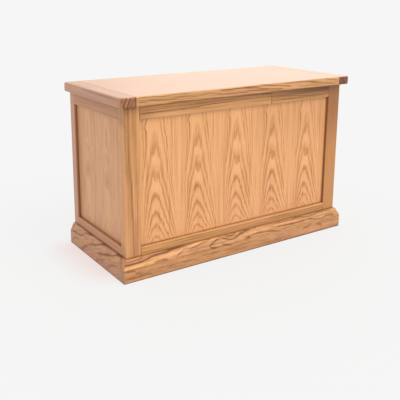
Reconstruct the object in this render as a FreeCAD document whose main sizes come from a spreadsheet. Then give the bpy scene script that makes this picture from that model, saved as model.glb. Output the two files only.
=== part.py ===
"""Framed blanket chest with a hinged breadboard-ended lid, as a FreeCAD 1.1 parametric document.

Frame: X runs along the length, Y from front to back, Z up.
Origin: on the floor, under the middle of the closed chest, hinge barrels included.
"""
import FreeCAD, Part
import os
import Sketcher

DRIVING_SIZES = {
    # whole chest
    "lid_length": 910,
    "lid_depth": 400,
    "chest_height": 560,
    "lid_overhang": 24,
    "lid_gap": 1.5,
    "lid_opening_angle": 95,
    # lid
    "lid_thickness": 28,
    "lid_frame_width": 51,
    "lid_corner_radius": 16,
    "lid_top_arris": 5,
    "lid_bottom_arris": 3,
    "lid_panel_thickness": 18,
    "lid_tongue_thickness": 6,
    "lid_tongue_length": 8,
    "lid_tongue_cover": 7,
    "lid_tenon_thickness": 9,
    "lid_tenon_length": 20,
    "lid_tenon_shoulder": 14,
    "bumper_diameter": 10,
    "bumper_thickness": 1.2,
    "bumper_inset": 15,
    # posts, rails and panels
    "post_width": 51,
    "post_thickness": 30,
    "rail_thickness": 25,
    "top_rail_height": 41,
    "bottom_rail_top": 99,
    "bottom_rail_height": 65,
    "front_rail_short_length": 263,
    "tenon_length": 25,
    "side_tenon_length": 15,
    "tenon_shoulder": 10,
    "joint_play": 0.1,
    "dowel_diameter": 8,
    "dowel_length": 50,
    "panel_thickness": 9,
    "panel_recess": 10,
    "panel_play": 0.2,
    "panel_edge_play": 1,
    "groove_depth": 8,
    # floor of the chest
    "floor_top": 87,
    "floor_thickness": 12,
    "floor_play": 1,
    "batten_size": 20,
    "batten_screw_diameter": 4,
    "batten_screw_head": 8,
    "batten_screw_length": 35,
    "batten_screw_inset": 60,
    # plinth and glides
    "plinth_height": 70,
    "plinth_thickness": 18,
    "plinth_chamfer_height": 25,
    "plinth_chamfer_inset": 12,
    "plinth_clearance": 1,
    "glide_height": 3,
    "glide_diameter": 22,
    "glide_pin_diameter": 6,
    "glide_pin_length": 10,
    # butt hinges
    "hinge_inset": 155,
    "hinge_length": 60,
    "hinge_leaf_width": 22,
    "hinge_leaf_thickness": 2,
    "barrel_diameter": 8,
    "barrel_clearance": 0.3,
    "knuckle_gap": 0.3,
    "hinge_pin_diameter": 4,
    "hinge_pin_play": 0.05,
    "hinge_pin_head_diameter": 6,
    "hinge_pin_head_length": 1.5,
    "hinge_screw_pitch": 20,
    "brass_screw_diameter": 3.5,
    "brass_screw_head": 7,
    "brass_screw_length": 16,
    "screw_play": 0.05,
    # sliding lid stays
    "stay_radius": 165,
    "stay_pivot_drop": 12,
    "stay_stud_drop": 34,
    "stay_running_gap": 0.3,
    "stay_plate_thickness": 2.5,
    "stay_plate_length": 40,
    "stay_plate_height": 30,
    "stay_plate_foot": 7,
    "stay_plate_screw_pitch": 28,
    "stay_plate_screw_rise": 16,
    "stud_diameter": 6,
    "stud_collar_diameter": 10,
    "stud_collar_length": 1.9,
    "stud_head_diameter": 11,
    "stud_head_length": 2,
    "stay_arm_width": 18,
    "stay_arm_thickness": 2.5,
    "bracket_thickness": 2.5,
    "bracket_tab_width": 20,
    "bracket_foot_width": 24,
    "bracket_foot_length": 44,
    "bracket_screw_pitch": 28,
    "bracket_screw_length": 12,
    "rivet_diameter": 5,
    "rivet_head_diameter": 9,
    "rivet_head_length": 1.2,
}

KNUCKLES = 5
X_AXIS = FreeCAD.Vector(1, 0, 0)
Y_AXIS = FreeCAD.Vector(0, 1, 0)
Z_AXIS = FreeCAD.Vector(0, 0, 1)

document = FreeCAD.newDocument("blanket_chest")
sheet = document.addObject("Spreadsheet::Sheet", "Sizes")
for row, (alias, value) in enumerate(DRIVING_SIZES.items(), start=1):
    sheet.set(f"A{row}", alias)
    sheet.set(f"B{row}", str(value))
    sheet.setAlias(f"B{row}", alias)
document.recompute()


def plus(*terms):
    """A sum of driving dimensions and places, as one bracketed expression."""
    return "(" + " + ".join(terms) + ")"


def minus(first, *terms):
    """The first term less all the others, as one bracketed expression."""
    return "(" + " - ".join((first,) + terms) + ")"


# Upright places, as expressions
GLIDE_TOP = "Sizes.glide_height"
PLINTH_BOTTOM = "Sizes.plinth_clearance"
LID_BOTTOM = "(Sizes.chest_height - Sizes.lid_thickness)"
CARCASS_TOP = minus(LID_BOTTOM, "Sizes.lid_gap")
TOP_RAIL_BOTTOM = minus(CARCASS_TOP, "Sizes.top_rail_height")
BOTTOM_RAIL_BOTTOM = "(Sizes.bottom_rail_top - Sizes.bottom_rail_height)"
LID_PANEL_BOTTOM = "(Sizes.chest_height - Sizes.lid_panel_thickness)"
FLOOR_BOTTOM = "(Sizes.floor_top - Sizes.floor_thickness)"
CHAMFER_BOTTOM = "(Sizes.plinth_height - Sizes.plinth_chamfer_height)"
HINGE_HEIGHT = plus(CARCASS_TOP, "Sizes.lid_gap / 2")

# Places from front to back
TOTAL_DEPTH = "(Sizes.lid_depth + Sizes.barrel_clearance + Sizes.barrel_diameter)"
LID_FRONT = f"(-{TOTAL_DEPTH} / 2)"
CARCASS_FRONT = plus(LID_FRONT, "Sizes.lid_overhang")
BACK = plus(LID_FRONT, "Sizes.lid_depth")
HINGE_PLACE = plus(BACK, "Sizes.barrel_clearance", "Sizes.barrel_diameter / 2")

# Places along the length
LID_END = "(Sizes.lid_length / 2)"
CARCASS_END = "(Sizes.lid_length / 2 - Sizes.lid_overhang)"
LID_FRAME_INNER = "(Sizes.lid_length / 2 - Sizes.lid_frame_width)"
BETWEEN_POSTS = minus(CARCASS_END, "Sizes.post_width")

# An outer face of the carcass: its place, and the sign of the way inward
FRONT_FACE = (CARCASS_FRONT, 1)
BACK_FACE = (BACK, -1)
LEFT_FACE = (f"(-{CARCASS_END})", 1)
RIGHT_FACE = (CARCASS_END, -1)
LENGTH_FACES = {"left": LEFT_FACE, "right": RIGHT_FACE}
DEPTH_FACES = {"front": FRONT_FACE, "rear": BACK_FACE}
WALLS = {
    "front": ("x", FRONT_FACE),
    "rear": ("x", BACK_FACE),
    "left": ("y", LEFT_FACE),
    "right": ("y", RIGHT_FACE),
}

# Depths measured inward from the outer face of a wall
PANEL_DEPTHS = (
    "(Sizes.panel_recess + Sizes.panel_play / 2)",
    "(Sizes.panel_recess + Sizes.panel_play / 2 + Sizes.panel_thickness)",
)
GROOVE_DEPTHS = (
    "Sizes.panel_recess",
    "(Sizes.panel_recess + Sizes.panel_play + Sizes.panel_thickness)",
)
RAIL_DEPTHS = ("0", "Sizes.rail_thickness")
BATTEN_DEPTHS = ("Sizes.rail_thickness", "(Sizes.rail_thickness + Sizes.batten_size)")

# Where the parts of a lid stay lie, measured inward from the outer face of an end wall
PLATE_FACE = "(Sizes.rail_thickness + Sizes.stay_plate_thickness)"
COLLAR_FACE = plus(PLATE_FACE, "Sizes.stud_collar_length")
ARM_DEPTHS = (
    plus(COLLAR_FACE, "Sizes.stay_running_gap"),
    plus(COLLAR_FACE, "Sizes.stay_running_gap", "Sizes.stay_arm_thickness"),
)
TAB_DEPTHS = (
    plus(ARM_DEPTHS[1], "Sizes.stay_running_gap"),
    plus(ARM_DEPTHS[1], "Sizes.stay_running_gap", "Sizes.bracket_thickness"),
)

# The pivot on the lid and the stud on the carcass stand equally far from the hinge line
PIVOT_SLOPE = "asin(Sizes.stay_pivot_drop / Sizes.stay_radius)"
STUD_SLOPE = "asin(Sizes.stay_stud_drop / Sizes.stay_radius)"
PIVOT_PLACE = minus(HINGE_PLACE, f"Sizes.stay_radius * cos({PIVOT_SLOPE})")
PIVOT_HEIGHT = minus(HINGE_HEIGHT, "Sizes.stay_pivot_drop")
STUD_PLACE = minus(HINGE_PLACE, f"Sizes.stay_radius * cos({STUD_SLOPE})")
STUD_HEIGHT = minus(HINGE_HEIGHT, "Sizes.stay_stud_drop")
ARM_SLOPE = f"(({PIVOT_SLOPE} + {STUD_SLOPE}) / 2)"
CLOSED_REACH = f"(2 * Sizes.stay_radius * sin(({STUD_SLOPE} - {PIVOT_SLOPE}) / 2))"
OPEN_REACH = (
    "(2 * Sizes.stay_radius * "
    f"sin((Sizes.lid_opening_angle * 1 deg + {STUD_SLOPE} - {PIVOT_SLOPE}) / 2))"
)

nodes = []


def new_body(label):
    """An empty body that will be written as one node."""
    body = document.addObject("PartDesign::Body", label)
    body.Label = label
    nodes.append(body)
    return body


def block(body, name, x, y, z, cut=False):
    """A box between the two ends given for each axis."""
    kind = "PartDesign::SubtractiveBox" if cut else "PartDesign::AdditiveBox"
    feature = body.newObject(kind, name)
    for axis, size, (low, high) in zip("xyz", ("Length", "Width", "Height"), (x, y, z)):
        feature.setExpression(f"Placement.Base.{axis}", low)
        feature.setExpression(size, f"({high}) - ({low})")
    return feature


def grown(span, play):
    """A span made longer at both ends by a play."""
    low, high = span
    return (minus(low, play), plus(high, play))


def middle(place, width):
    """The span of a width centred on a place."""
    return (minus(place, f"{width} / 2"), plus(place, f"{width} / 2"))


def inward(face, near, far):
    """The span between two depths measured inward from an outer face."""
    place, sign = face
    if sign > 0:
        return (plus(place, near), plus(place, far))
    return (minus(place, far), minus(place, near))


def turned(maker, kind, name, place, direction, **sizes):
    """A round primitive that starts at a place and runs in a direction."""
    feature = maker(kind, name)
    feature.Placement = FreeCAD.Placement(FreeCAD.Vector(), FreeCAD.Rotation(Z_AXIS, direction))
    for axis, expression in zip("xyz", place):
        feature.setExpression(f"Placement.Base.{axis}", expression)
    for size, expression in sizes.items():
        feature.setExpression(size, expression)
    return feature


def rod_along_x(body, name, span, y, z, diameter, cut=False):
    """A cylinder along X between two ends."""
    kind = "PartDesign::SubtractiveCylinder" if cut else "PartDesign::AdditiveCylinder"
    low, high = span
    length = f"({high}) - ({low})"
    return turned(
        body.newObject, kind, name, (low, y, z), X_AXIS, Radius=f"{diameter} / 2", Height=length
    )


def polygon_sketch(body, name, height, corners):
    """A closed outline on the body's XY plane, each corner held by two expressions."""
    sketch = body.newObject("Sketcher::SketchObject", name)
    plane = next(part for part in body.Origin.OriginFeatures if part.Role == "XY_Plane")
    sketch.AttachmentSupport = [(plane, "")]
    sketch.MapMode = "FlatFace"
    sketch.setExpression("AttachmentOffset.Base.z", height)
    start = [FreeCAD.Vector(*guess) for guess in rough_places(corners)]
    count = len(start)
    for index in range(count):
        sketch.addGeometry(Part.LineSegment(start[index], start[(index + 1) % count]), False)
    for index in range(count):
        sketch.addConstraint(Sketcher.Constraint("Coincident", index, 2, (index + 1) % count, 1))
    for index, corner in enumerate(corners):
        for kind, expression, guess in zip(("DistanceX", "DistanceY"), corner, start[index]):
            held = sketch.addConstraint(Sketcher.Constraint(kind, -1, 1, index, 1, guess))
            sketch.setExpression(f"Constraints[{held}]", expression)
    return sketch


def rough_places(corners):
    """Where the corners of an outline fall with the present sizes."""
    return [
        (float(sheet.evalExpression(x)), float(sheet.evalExpression(y)), 0) for x, y in corners
    ]


def edge_names(shape, wanted):
    """The names of the edges of a shape whose middle point passes a test."""
    names = []
    for index, edge in enumerate(shape.Edges, start=1):
        middle_point = edge.valueAt((edge.FirstParameter + edge.LastParameter) / 2)
        if wanted(middle_point, edge):
            names.append(f"Edge{index}")
    return names


def fillet(body, name, base, radius, wanted):
    """A fillet on the edges of a base feature that pass a test."""
    document.recompute()
    feature = body.newObject("PartDesign::Fillet", name)
    feature.Base = (base, edge_names(base.Shape, wanted))
    feature.setExpression("Radius", radius)
    return feature


# ---------------------------------------------------------------- screws

SCREWS = {
    "brass": ("Sizes.brass_screw_diameter", "Sizes.brass_screw_head", "Sizes.brass_screw_length"),
    "bracket": (
        "Sizes.brass_screw_diameter",
        "Sizes.brass_screw_head",
        "Sizes.bracket_screw_length",
    ),
    "batten": (
        "Sizes.batten_screw_diameter",
        "Sizes.batten_screw_head",
        "Sizes.batten_screw_length",
    ),
}


def screw_group(label, kind, spots):
    """Countersunk screws as one node of separate solids; a spot is a head centre and a way in."""
    diameter, head, length = SCREWS[kind]
    screws = []
    for index, (place, direction) in enumerate(spots):
        shank = turned(
            document.addObject, "Part::Cylinder", f"{label}_shank_{index}", place, direction,
            Radius=f"{diameter} / 2", Height=length,
        )
        cone = turned(
            document.addObject, "Part::Cone", f"{label}_head_{index}", place, direction,
            Radius1=f"{head} / 2", Radius2=f"{diameter} / 2", Height=f"({head} - {diameter}) / 2",
        )
        screw = document.addObject("Part::MultiFuse", f"{label}_screw_{index}")
        screw.Shapes = [shank, cone]
        screws.append(screw)
    group(label, screws)


def group(label, members):
    """Identical separate solids written as one node."""
    compound = document.addObject("Part::Compound", label)
    compound.Label = label
    compound.Links = members
    nodes.append(compound)


def screw_holes(body, kind, spots):
    """The countersunk holes for a row of screws."""
    diameter, head, length = SCREWS[kind]
    play = "Sizes.screw_play"
    for index, (place, direction) in enumerate(spots):
        turned(
            body.newObject, "PartDesign::SubtractiveCylinder", f"screw_bore_{index}", place,
            direction, Radius=f"{diameter} / 2 + {play}", Height=f"{length} + {play}",
        )
        turned(
            body.newObject, "PartDesign::SubtractiveCone", f"countersink_{index}", place,
            direction, Radius1=f"{head} / 2 + {play}", Radius2=f"{diameter} / 2 + {play}",
            Height=f"({head} - {diameter}) / 2",
        )


# ---------------------------------------------------------------- carcass frame

TOP_TENON = (
    plus(TOP_RAIL_BOTTOM, "Sizes.groove_depth"),
    minus(CARCASS_TOP, "Sizes.tenon_shoulder"),
)
BOTTOM_TENON_TOP = "(Sizes.bottom_rail_top - Sizes.groove_depth)"
BOTTOM_TENON = (plus(BOTTOM_RAIL_BOTTOM, "Sizes.tenon_shoulder"), BOTTOM_TENON_TOP)
REAR_BOTTOM_TENON = (plus(GLIDE_TOP, "Sizes.tenon_shoulder"), BOTTOM_TENON_TOP)
BETWEEN = {
    "x": (f"(-{BETWEEN_POSTS})", BETWEEN_POSTS),
    "y": (plus(CARCASS_FRONT, "Sizes.post_thickness"), minus(BACK, "Sizes.post_thickness")),
}
TENON_LENGTHS = {"x": "Sizes.tenon_length", "y": "Sizes.side_tenon_length"}


def wall_block(body, name, wall, along, depths, z, cut=False):
    """A box of one wall: a span along it, two depths from its outer face, and a height span."""
    axis, face = WALLS[wall]
    across = inward(face, *depths)
    x, y = (along, across) if axis == "x" else (across, along)
    return block(body, name, x, y, z, cut)


def tenon_spans(axis):
    """The two spans along a wall that its rails' tenons take up inside the posts."""
    low, high = BETWEEN[axis]
    length = TENON_LENGTHS[axis]
    return {"low": (minus(low, length), low), "high": (high, plus(high, length))}


def bottom_tenon(wall):
    """The height span of the tenons of a wall's bottom rail."""
    return REAR_BOTTOM_TENON if wall == "rear" else BOTTOM_TENON


def make_post(depth_name, length_name):
    """A corner post with a groove for each panel and a mortise for each rail."""
    body = new_body(f"post_{depth_name}_{length_name}")
    block(
        body, "post",
        inward(LENGTH_FACES[length_name], "0", "Sizes.post_width"),
        inward(DEPTH_FACES[depth_name], "0", "Sizes.post_thickness"),
        (GLIDE_TOP, CARCASS_TOP),
    )
    ends = {depth_name: "low" if length_name == "left" else "high",
            length_name: "low" if depth_name == "front" else "high"}
    panel_heights = (BOTTOM_TENON_TOP, plus(TOP_RAIL_BOTTOM, "Sizes.groove_depth"))
    for wall, end in ends.items():
        axis = WALLS[wall][0]
        low, high = BETWEEN[axis]
        depth = "Sizes.groove_depth"
        groove = (minus(low, depth), low) if end == "low" else (high, plus(high, depth))
        wall_block(body, f"{wall}_groove", wall, groove, GROOVE_DEPTHS, panel_heights, cut=True)
        mortise = grown(tenon_spans(axis)[end], "Sizes.joint_play")
        for rail, heights in (("top", TOP_TENON), ("bottom", bottom_tenon(wall))):
            wall_block(
                body, f"{wall}_{rail}_mortise", wall, mortise, GROOVE_DEPTHS,
                grown(heights, "Sizes.joint_play"), cut=True,
            )
    glide_place = glide_centre(depth_name, length_name)
    turned(
        body.newObject, "PartDesign::SubtractiveCylinder", "glide_hole",
        (*glide_place, GLIDE_TOP), Z_AXIS,
        Radius="Sizes.glide_pin_diameter / 2", Height="Sizes.glide_pin_length",
    )


def glide_centre(depth_name, length_name):
    """The middle of a post's foot."""
    half_width = "Sizes.post_width / 2"
    half_thickness = "Sizes.post_thickness / 2"
    x = inward(LENGTH_FACES[length_name], half_width, half_width)[0]
    y = inward(DEPTH_FACES[depth_name], half_thickness, half_thickness)[0]
    return (x, y)


def make_glides():
    """Four nylon glides, each a disc with a pin pressed up into its post."""
    glides = []
    for depth_name in DEPTH_FACES:
        for length_name in LENGTH_FACES:
            name = f"glide_{depth_name}_{length_name}"
            x, y = glide_centre(depth_name, length_name)
            disc = turned(
                document.addObject, "Part::Cylinder", f"{name}_disc", (x, y, "0"), Z_AXIS,
                Radius="Sizes.glide_diameter / 2", Height="Sizes.glide_height",
            )
            pin = turned(
                document.addObject, "Part::Cylinder", f"{name}_pin", (x, y, "0"), Z_AXIS,
                Radius="Sizes.glide_pin_diameter / 2",
                Height="Sizes.glide_height + Sizes.glide_pin_length",
            )
            glide = document.addObject("Part::MultiFuse", name)
            glide.Shapes = [disc, pin]
            glides.append(glide)
    group("floor_glides", glides)


def make_rail(label, wall, heights, tenon_heights, groove_heights, tenoned=("low", "high"), along=None):
    """A rail between two posts, with its tenons and the groove for the panel in one edge."""
    axis = WALLS[wall][0]
    along = along or BETWEEN[axis]
    body = new_body(label)
    wall_block(body, "rail", wall, along, RAIL_DEPTHS, heights)
    for end in tenoned:
        wall_block(
            body, f"{end}_tenon", wall, tenon_spans(axis)[end], PANEL_DEPTHS, tenon_heights
        )
    wall_block(body, "panel_groove", wall, BETWEEN[axis], GROOVE_DEPTHS, groove_heights, cut=True)
    return body


TOP_HEIGHTS = (TOP_RAIL_BOTTOM, CARCASS_TOP)
TOP_GROOVE = (TOP_RAIL_BOTTOM, plus(TOP_RAIL_BOTTOM, "Sizes.groove_depth"))
BOTTOM_GROOVE = (BOTTOM_TENON_TOP, "Sizes.bottom_rail_top")


def make_front_top_rail():
    """The front top rail, two lengths butted end to end on a pair of dowels."""
    low, high = BETWEEN["x"]
    joint = minus(high, "Sizes.front_rail_short_length")
    pieces = {"long": (("low",), (low, joint)), "short": (("high",), (joint, high))}
    y = plus(CARCASS_FRONT, "Sizes.rail_thickness / 2")
    solid_height = "(Sizes.top_rail_height - Sizes.groove_depth)"
    dowel_heights = [plus(TOP_GROOVE[1], f"{solid_height} * {quarter} / 4") for quarter in (1, 3)]
    hole = middle(joint, "(Sizes.dowel_length + Sizes.joint_play)")
    for piece, (tenoned, along) in pieces.items():
        body = make_rail(
            f"front_top_rail_{piece}", "front", TOP_HEIGHTS, TOP_TENON, TOP_GROOVE, tenoned, along
        )
        for index, z in enumerate(dowel_heights):
            rod_along_x(body, f"dowel_hole_{index}", hole, y, z, "Sizes.dowel_diameter", cut=True)
    low_end, _ = middle(joint, "Sizes.dowel_length")
    dowels = [
        turned(
            document.addObject, "Part::Cylinder", f"dowel_{index}", (low_end, y, z), X_AXIS,
            Radius="Sizes.dowel_diameter / 2", Height="Sizes.dowel_length",
        )
        for index, z in enumerate(dowel_heights)
    ]
    group("front_rail_dowels", dowels)


def make_frame():
    """Posts, rails and glides."""
    for depth_name in DEPTH_FACES:
        for length_name in LENGTH_FACES:
            make_post(depth_name, length_name)
    make_glides()
    make_front_top_rail()
    rear_rail = make_rail("rear_top_rail", "rear", TOP_HEIGHTS, TOP_TENON, TOP_GROOVE)
    for hinge, centre in HINGES.items():
        block(
            rear_rail, f"{hinge}_leaf_housing", middle(centre, "Sizes.hinge_length"),
            LEAF_SPAN, (minus(CARCASS_TOP, "Sizes.hinge_leaf_thickness"), CARCASS_TOP), cut=True,
        )
    screw_holes(rear_rail, "brass", case_leaf_screws())
    for side in LENGTH_FACES:
        body = make_rail(f"{side}_top_rail", side, TOP_HEIGHTS, TOP_TENON, TOP_GROOVE)
        screw_holes(body, "brass", stay_plate_screws(side))
    for wall in WALLS:
        low = GLIDE_TOP if wall == "rear" else BOTTOM_RAIL_BOTTOM
        body = make_rail(
            f"{wall}_bottom_rail", wall, (low, "Sizes.bottom_rail_top"), bottom_tenon(wall),
            BOTTOM_GROOVE,
        )
        screw_holes(body, "batten", batten_screws(wall))


def make_panels():
    """The four wall panels, standing in the grooves of the frame."""
    top = minus(plus(TOP_RAIL_BOTTOM, "Sizes.groove_depth"), "Sizes.panel_edge_play")
    for wall, (axis, _) in WALLS.items():
        low, high = BETWEEN[axis]
        reach = "(Sizes.groove_depth - Sizes.panel_edge_play)"
        body = new_body(f"{wall}_panel")
        wall_block(
            body, "panel", wall, (minus(low, reach), plus(high, reach)), PANEL_DEPTHS,
            (BOTTOM_TENON_TOP, top),
        )


# ---------------------------------------------------------------- floor of the chest

BATTEN_HEIGHTS = (minus(FLOOR_BOTTOM, "Sizes.batten_size"), FLOOR_BOTTOM)
BATTEN_MIDDLE = minus(FLOOR_BOTTOM, "Sizes.batten_size / 2")
SIDE_BATTEN_INSET = "(Sizes.rail_thickness + Sizes.batten_size + Sizes.floor_play)"
BATTEN_SPANS = {
    "x": grown(BETWEEN["x"], "-Sizes.floor_play"),
    "y": (plus(CARCASS_FRONT, SIDE_BATTEN_INSET), minus(BACK, SIDE_BATTEN_INSET)),
}


def batten_screws(wall):
    """Screws through a batten into its rail: one near each end and one or two between."""
    axis, (place, sign) = WALLS[wall]
    low, high = BATTEN_SPANS[axis]
    inset = "Sizes.batten_screw_inset"
    spaces = 3 if axis == "x" else 2
    depth = BATTEN_DEPTHS[1]
    across = inward((place, sign), depth, depth)[0]
    direction = (Y_AXIS if axis == "x" else X_AXIS) * -sign
    spots = []
    for step in range(spaces + 1):
        run = f"({high} - {low} - 2 * {inset})"
        along = plus(low, inset, f"{run} * {step} / {spaces}")
        x, y = (along, across) if axis == "x" else (across, along)
        spots.append(((x, y, BATTEN_MIDDLE), direction))
    return spots


def make_floor():
    """The floor board, notched round the posts, and the four battens that carry it."""
    board_edge = "(Sizes.rail_thickness + Sizes.floor_play)"
    body = new_body("floor_panel")
    heights = (FLOOR_BOTTOM, "Sizes.floor_top")
    block(
        body, "board",
        (inward(LEFT_FACE, board_edge, board_edge)[0], inward(RIGHT_FACE, board_edge, board_edge)[0]),
        (inward(FRONT_FACE, board_edge, board_edge)[0], inward(BACK_FACE, board_edge, board_edge)[0]),
        heights,
    )
    for depth_name, depth_face in DEPTH_FACES.items():
        for length_name, length_face in LENGTH_FACES.items():
            block(
                body, f"notch_{depth_name}_{length_name}",
                inward(length_face, "0", "(Sizes.post_width + Sizes.floor_play)"),
                inward(depth_face, "0", "(Sizes.post_thickness + Sizes.floor_play)"),
                heights, cut=True,
            )
    screws = []
    for wall, (axis, _) in WALLS.items():
        batten = new_body(f"floor_batten_{wall}")
        wall_block(batten, "batten", wall, BATTEN_SPANS[axis], BATTEN_DEPTHS, BATTEN_HEIGHTS)
        screw_holes(batten, "batten", batten_screws(wall))
        screws += batten_screws(wall)
    screw_group("batten_screws", "batten", screws)


# ---------------------------------------------------------------- plinth

PLINTH_LEVELS = (
    (PLINTH_BOTTOM, "Sizes.plinth_thickness"),
    (CHAMFER_BOTTOM, "Sizes.plinth_thickness"),
    ("Sizes.plinth_height", "(Sizes.plinth_thickness - Sizes.plinth_chamfer_inset)"),
)


def front_plinth_outline(stand_out):
    """Plan of the front board, mitred at both ends, with its face standing out by a distance."""
    outer_end = plus(CARCASS_END, stand_out)
    outer_face = minus(CARCASS_FRONT, stand_out)
    return [
        (f"(-{CARCASS_END})", CARCASS_FRONT),
        (f"(-{outer_end})", outer_face),
        (outer_end, outer_face),
        (CARCASS_END, CARCASS_FRONT),
    ]


def side_plinth_outline(side):
    """A function that gives the plan of a side board, mitred in front and square at the back."""
    sign = "-1" if side == "left" else "1"

    def outline(stand_out):
        inner = f"({sign} * {CARCASS_END})"
        outer = f"({sign} * {plus(CARCASS_END, stand_out)})"
        return [
            (inner, CARCASS_FRONT),
            (outer, minus(CARCASS_FRONT, stand_out)),
            (outer, BACK),
            (inner, BACK),
        ]

    return outline


def make_plinth():
    """Three plinth boards with a chamfered top edge."""
    outlines = {"front": front_plinth_outline}
    for side in LENGTH_FACES:
        outlines[side] = side_plinth_outline(side)
    for name, outline in outlines.items():
        body = new_body(f"plinth_{name}")
        foot, shoulder, top = [
            polygon_sketch(body, f"plan_{level}", height, outline(stand_out))
            for level, (height, stand_out) in enumerate(PLINTH_LEVELS)
        ]
        board = body.newObject("PartDesign::Pad", "board")
        board.Profile = foot
        board.setExpression("Length", minus(CHAMFER_BOTTOM, PLINTH_BOTTOM))
        chamfer = body.newObject("PartDesign::AdditiveLoft", "chamfered_edge")
        chamfer.Profile = shoulder
        chamfer.Sections = [top]
        chamfer.Ruled = True


# ---------------------------------------------------------------- lid

LID_HEIGHTS = (LID_BOTTOM, "Sizes.chest_height")
LID_SPAN = (LID_FRONT, BACK)
TONGUE_HEIGHTS = (
    "(Sizes.chest_height - Sizes.lid_tongue_cover - Sizes.lid_tongue_thickness)",
    "(Sizes.chest_height - Sizes.lid_tongue_cover)",
)
LID_TENON_HEIGHTS = middle(
    "(Sizes.chest_height - Sizes.lid_thickness / 2)", "Sizes.lid_tenon_thickness"
)
LID_TENON_END = "(Sizes.lid_frame_width - Sizes.lid_tongue_length - 2 * Sizes.joint_play)"
LID_EDGES = {"front": (LID_FRONT, 1), "rear": (BACK, -1)}
PANEL_Y = (plus(LID_FRONT, "Sizes.lid_frame_width"), minus(BACK, "Sizes.lid_frame_width"))
PANEL_X = (f"(-{LID_FRAME_INNER})", LID_FRAME_INNER)


def number(expression):
    """The present value of an expression."""
    return float(sheet.evalExpression(expression))


def at_height(expression):
    """A test for edges that lie level at a height."""
    height = number(expression)

    def wanted(point, edge):
        return abs(point.z - height) < 0.01 and edge.BoundBox.ZLength < 0.01

    return wanted


def make_cleat(side, sign):
    """An end cleat of the lid: grooved for the panel, mortised for the rails, corners rounded."""
    body = new_body(f"lid_{side}_cleat")
    across = (LID_FRAME_INNER, LID_END) if sign > 0 else (f"(-{LID_END})", f"(-{LID_FRAME_INNER})")
    board = block(body, "cleat", across, LID_SPAN, LID_HEIGHTS)
    outer = sign * number(LID_END)
    corners = fillet(
        body, "plan_corners", board, "Sizes.lid_corner_radius",
        lambda point, edge: abs(point.x - outer) < 0.01 and edge.BoundBox.ZLength > 1,
    )
    inner = sign * number(LID_FRAME_INNER)
    rim = fillet(
        body, "top_arris", corners, "Sizes.lid_top_arris",
        lambda point, edge: at_height("Sizes.chest_height")(point, edge)
        and abs(point.x - inner) > 0.01,
    )
    fillet(
        body, "bottom_arris", rim, "Sizes.lid_bottom_arris",
        lambda point, edge: at_height(LID_BOTTOM)(point, edge) and abs(point.x - inner) > 0.01,
    )
    play = "Sizes.joint_play"
    groove_x = (LID_FRAME_INNER, plus(LID_FRAME_INNER, "Sizes.lid_tongue_length", play))
    mortise_x = (LID_FRAME_INNER, plus(LID_FRAME_INNER, "Sizes.lid_tenon_length", play))
    if sign < 0:
        groove_x, mortise_x = [(f"(-{far})", f"(-{near})") for near, far in (groove_x, mortise_x)]
    groove_y = grown(PANEL_Y, plus("Sizes.lid_tongue_length", play))
    block(body, "panel_groove", groove_x, groove_y, grown(TONGUE_HEIGHTS, play), cut=True)
    for edge_name, edge in LID_EDGES.items():
        tenon_y = inward(edge, "Sizes.lid_tenon_shoulder", LID_TENON_END)
        block(
            body, f"{edge_name}_mortise", mortise_x, grown(tenon_y, play),
            grown(LID_TENON_HEIGHTS, play), cut=True,
        )


def make_lid_rail(edge_name):
    """The front or rear rail of the lid, tenoned into both cleats and grooved for the panel."""
    edge = LID_EDGES[edge_name]
    body = new_body(f"lid_{edge_name}_rail")
    board = block(
        body, "rail", PANEL_X, inward(edge, "0", "Sizes.lid_frame_width"), LID_HEIGHTS
    )
    outer = number(edge[0])
    top = at_height("Sizes.chest_height")
    bottom = at_height(LID_BOTTOM)
    rim = fillet(
        body, "top_arris", board, "Sizes.lid_top_arris",
        lambda point, side: top(point, side) and abs(point.y - outer) < 0.01,
    )
    fillet(
        body, "bottom_arris", rim, "Sizes.lid_bottom_arris",
        lambda point, side: bottom(point, side) and abs(point.y - outer) < 0.01,
    )
    tenon_y = inward(edge, "Sizes.lid_tenon_shoulder", LID_TENON_END)
    block(
        body, "tenons", grown(PANEL_X, "Sizes.lid_tenon_length"), tenon_y, LID_TENON_HEIGHTS
    )
    play = "Sizes.joint_play"
    groove_near = minus("Sizes.lid_frame_width", "Sizes.lid_tongue_length", play)
    block(
        body, "panel_groove", PANEL_X, inward(edge, groove_near, "Sizes.lid_frame_width"),
        grown(TONGUE_HEIGHTS, play), cut=True,
    )
    return body


def make_lid():
    """The lid: framed panel flush on top, with end cleats running from front to back."""
    panel = new_body("lid_panel")
    block(panel, "panel", PANEL_X, PANEL_Y, (LID_PANEL_BOTTOM, "Sizes.chest_height"))
    tongue = "Sizes.lid_tongue_length"
    block(panel, "tongue", grown(PANEL_X, tongue), grown(PANEL_Y, tongue), TONGUE_HEIGHTS)
    for side in LENGTH_FACES:
        screw_holes(panel, "bracket", bracket_screws(side))
    make_lid_rail("front")
    rear_rail = make_lid_rail("rear")
    for hinge, centre in HINGES.items():
        block(
            rear_rail, f"{hinge}_leaf_housing", middle(centre, "Sizes.hinge_length"),
            LEAF_SPAN, (LID_BOTTOM, plus(LID_BOTTOM, "Sizes.hinge_leaf_thickness")), cut=True,
        )
    screw_holes(rear_rail, "brass", lid_leaf_screws())
    make_cleat("left", -1)
    make_cleat("right", 1)
    bumpers = []
    inset = "Sizes.bumper_inset"
    for side, face in LENGTH_FACES.items():
        x = inward(face, inset, inset)[0]
        y = inward(FRONT_FACE, inset, inset)[0]
        bumpers.append(
            turned(
                document.addObject, "Part::Cylinder", f"bumper_{side}", (x, y, LID_BOTTOM),
                -Z_AXIS, Radius="Sizes.bumper_diameter / 2", Height="Sizes.bumper_thickness",
            )
        )
    group("lid_bumpers", bumpers)


# ---------------------------------------------------------------- hinges

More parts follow.
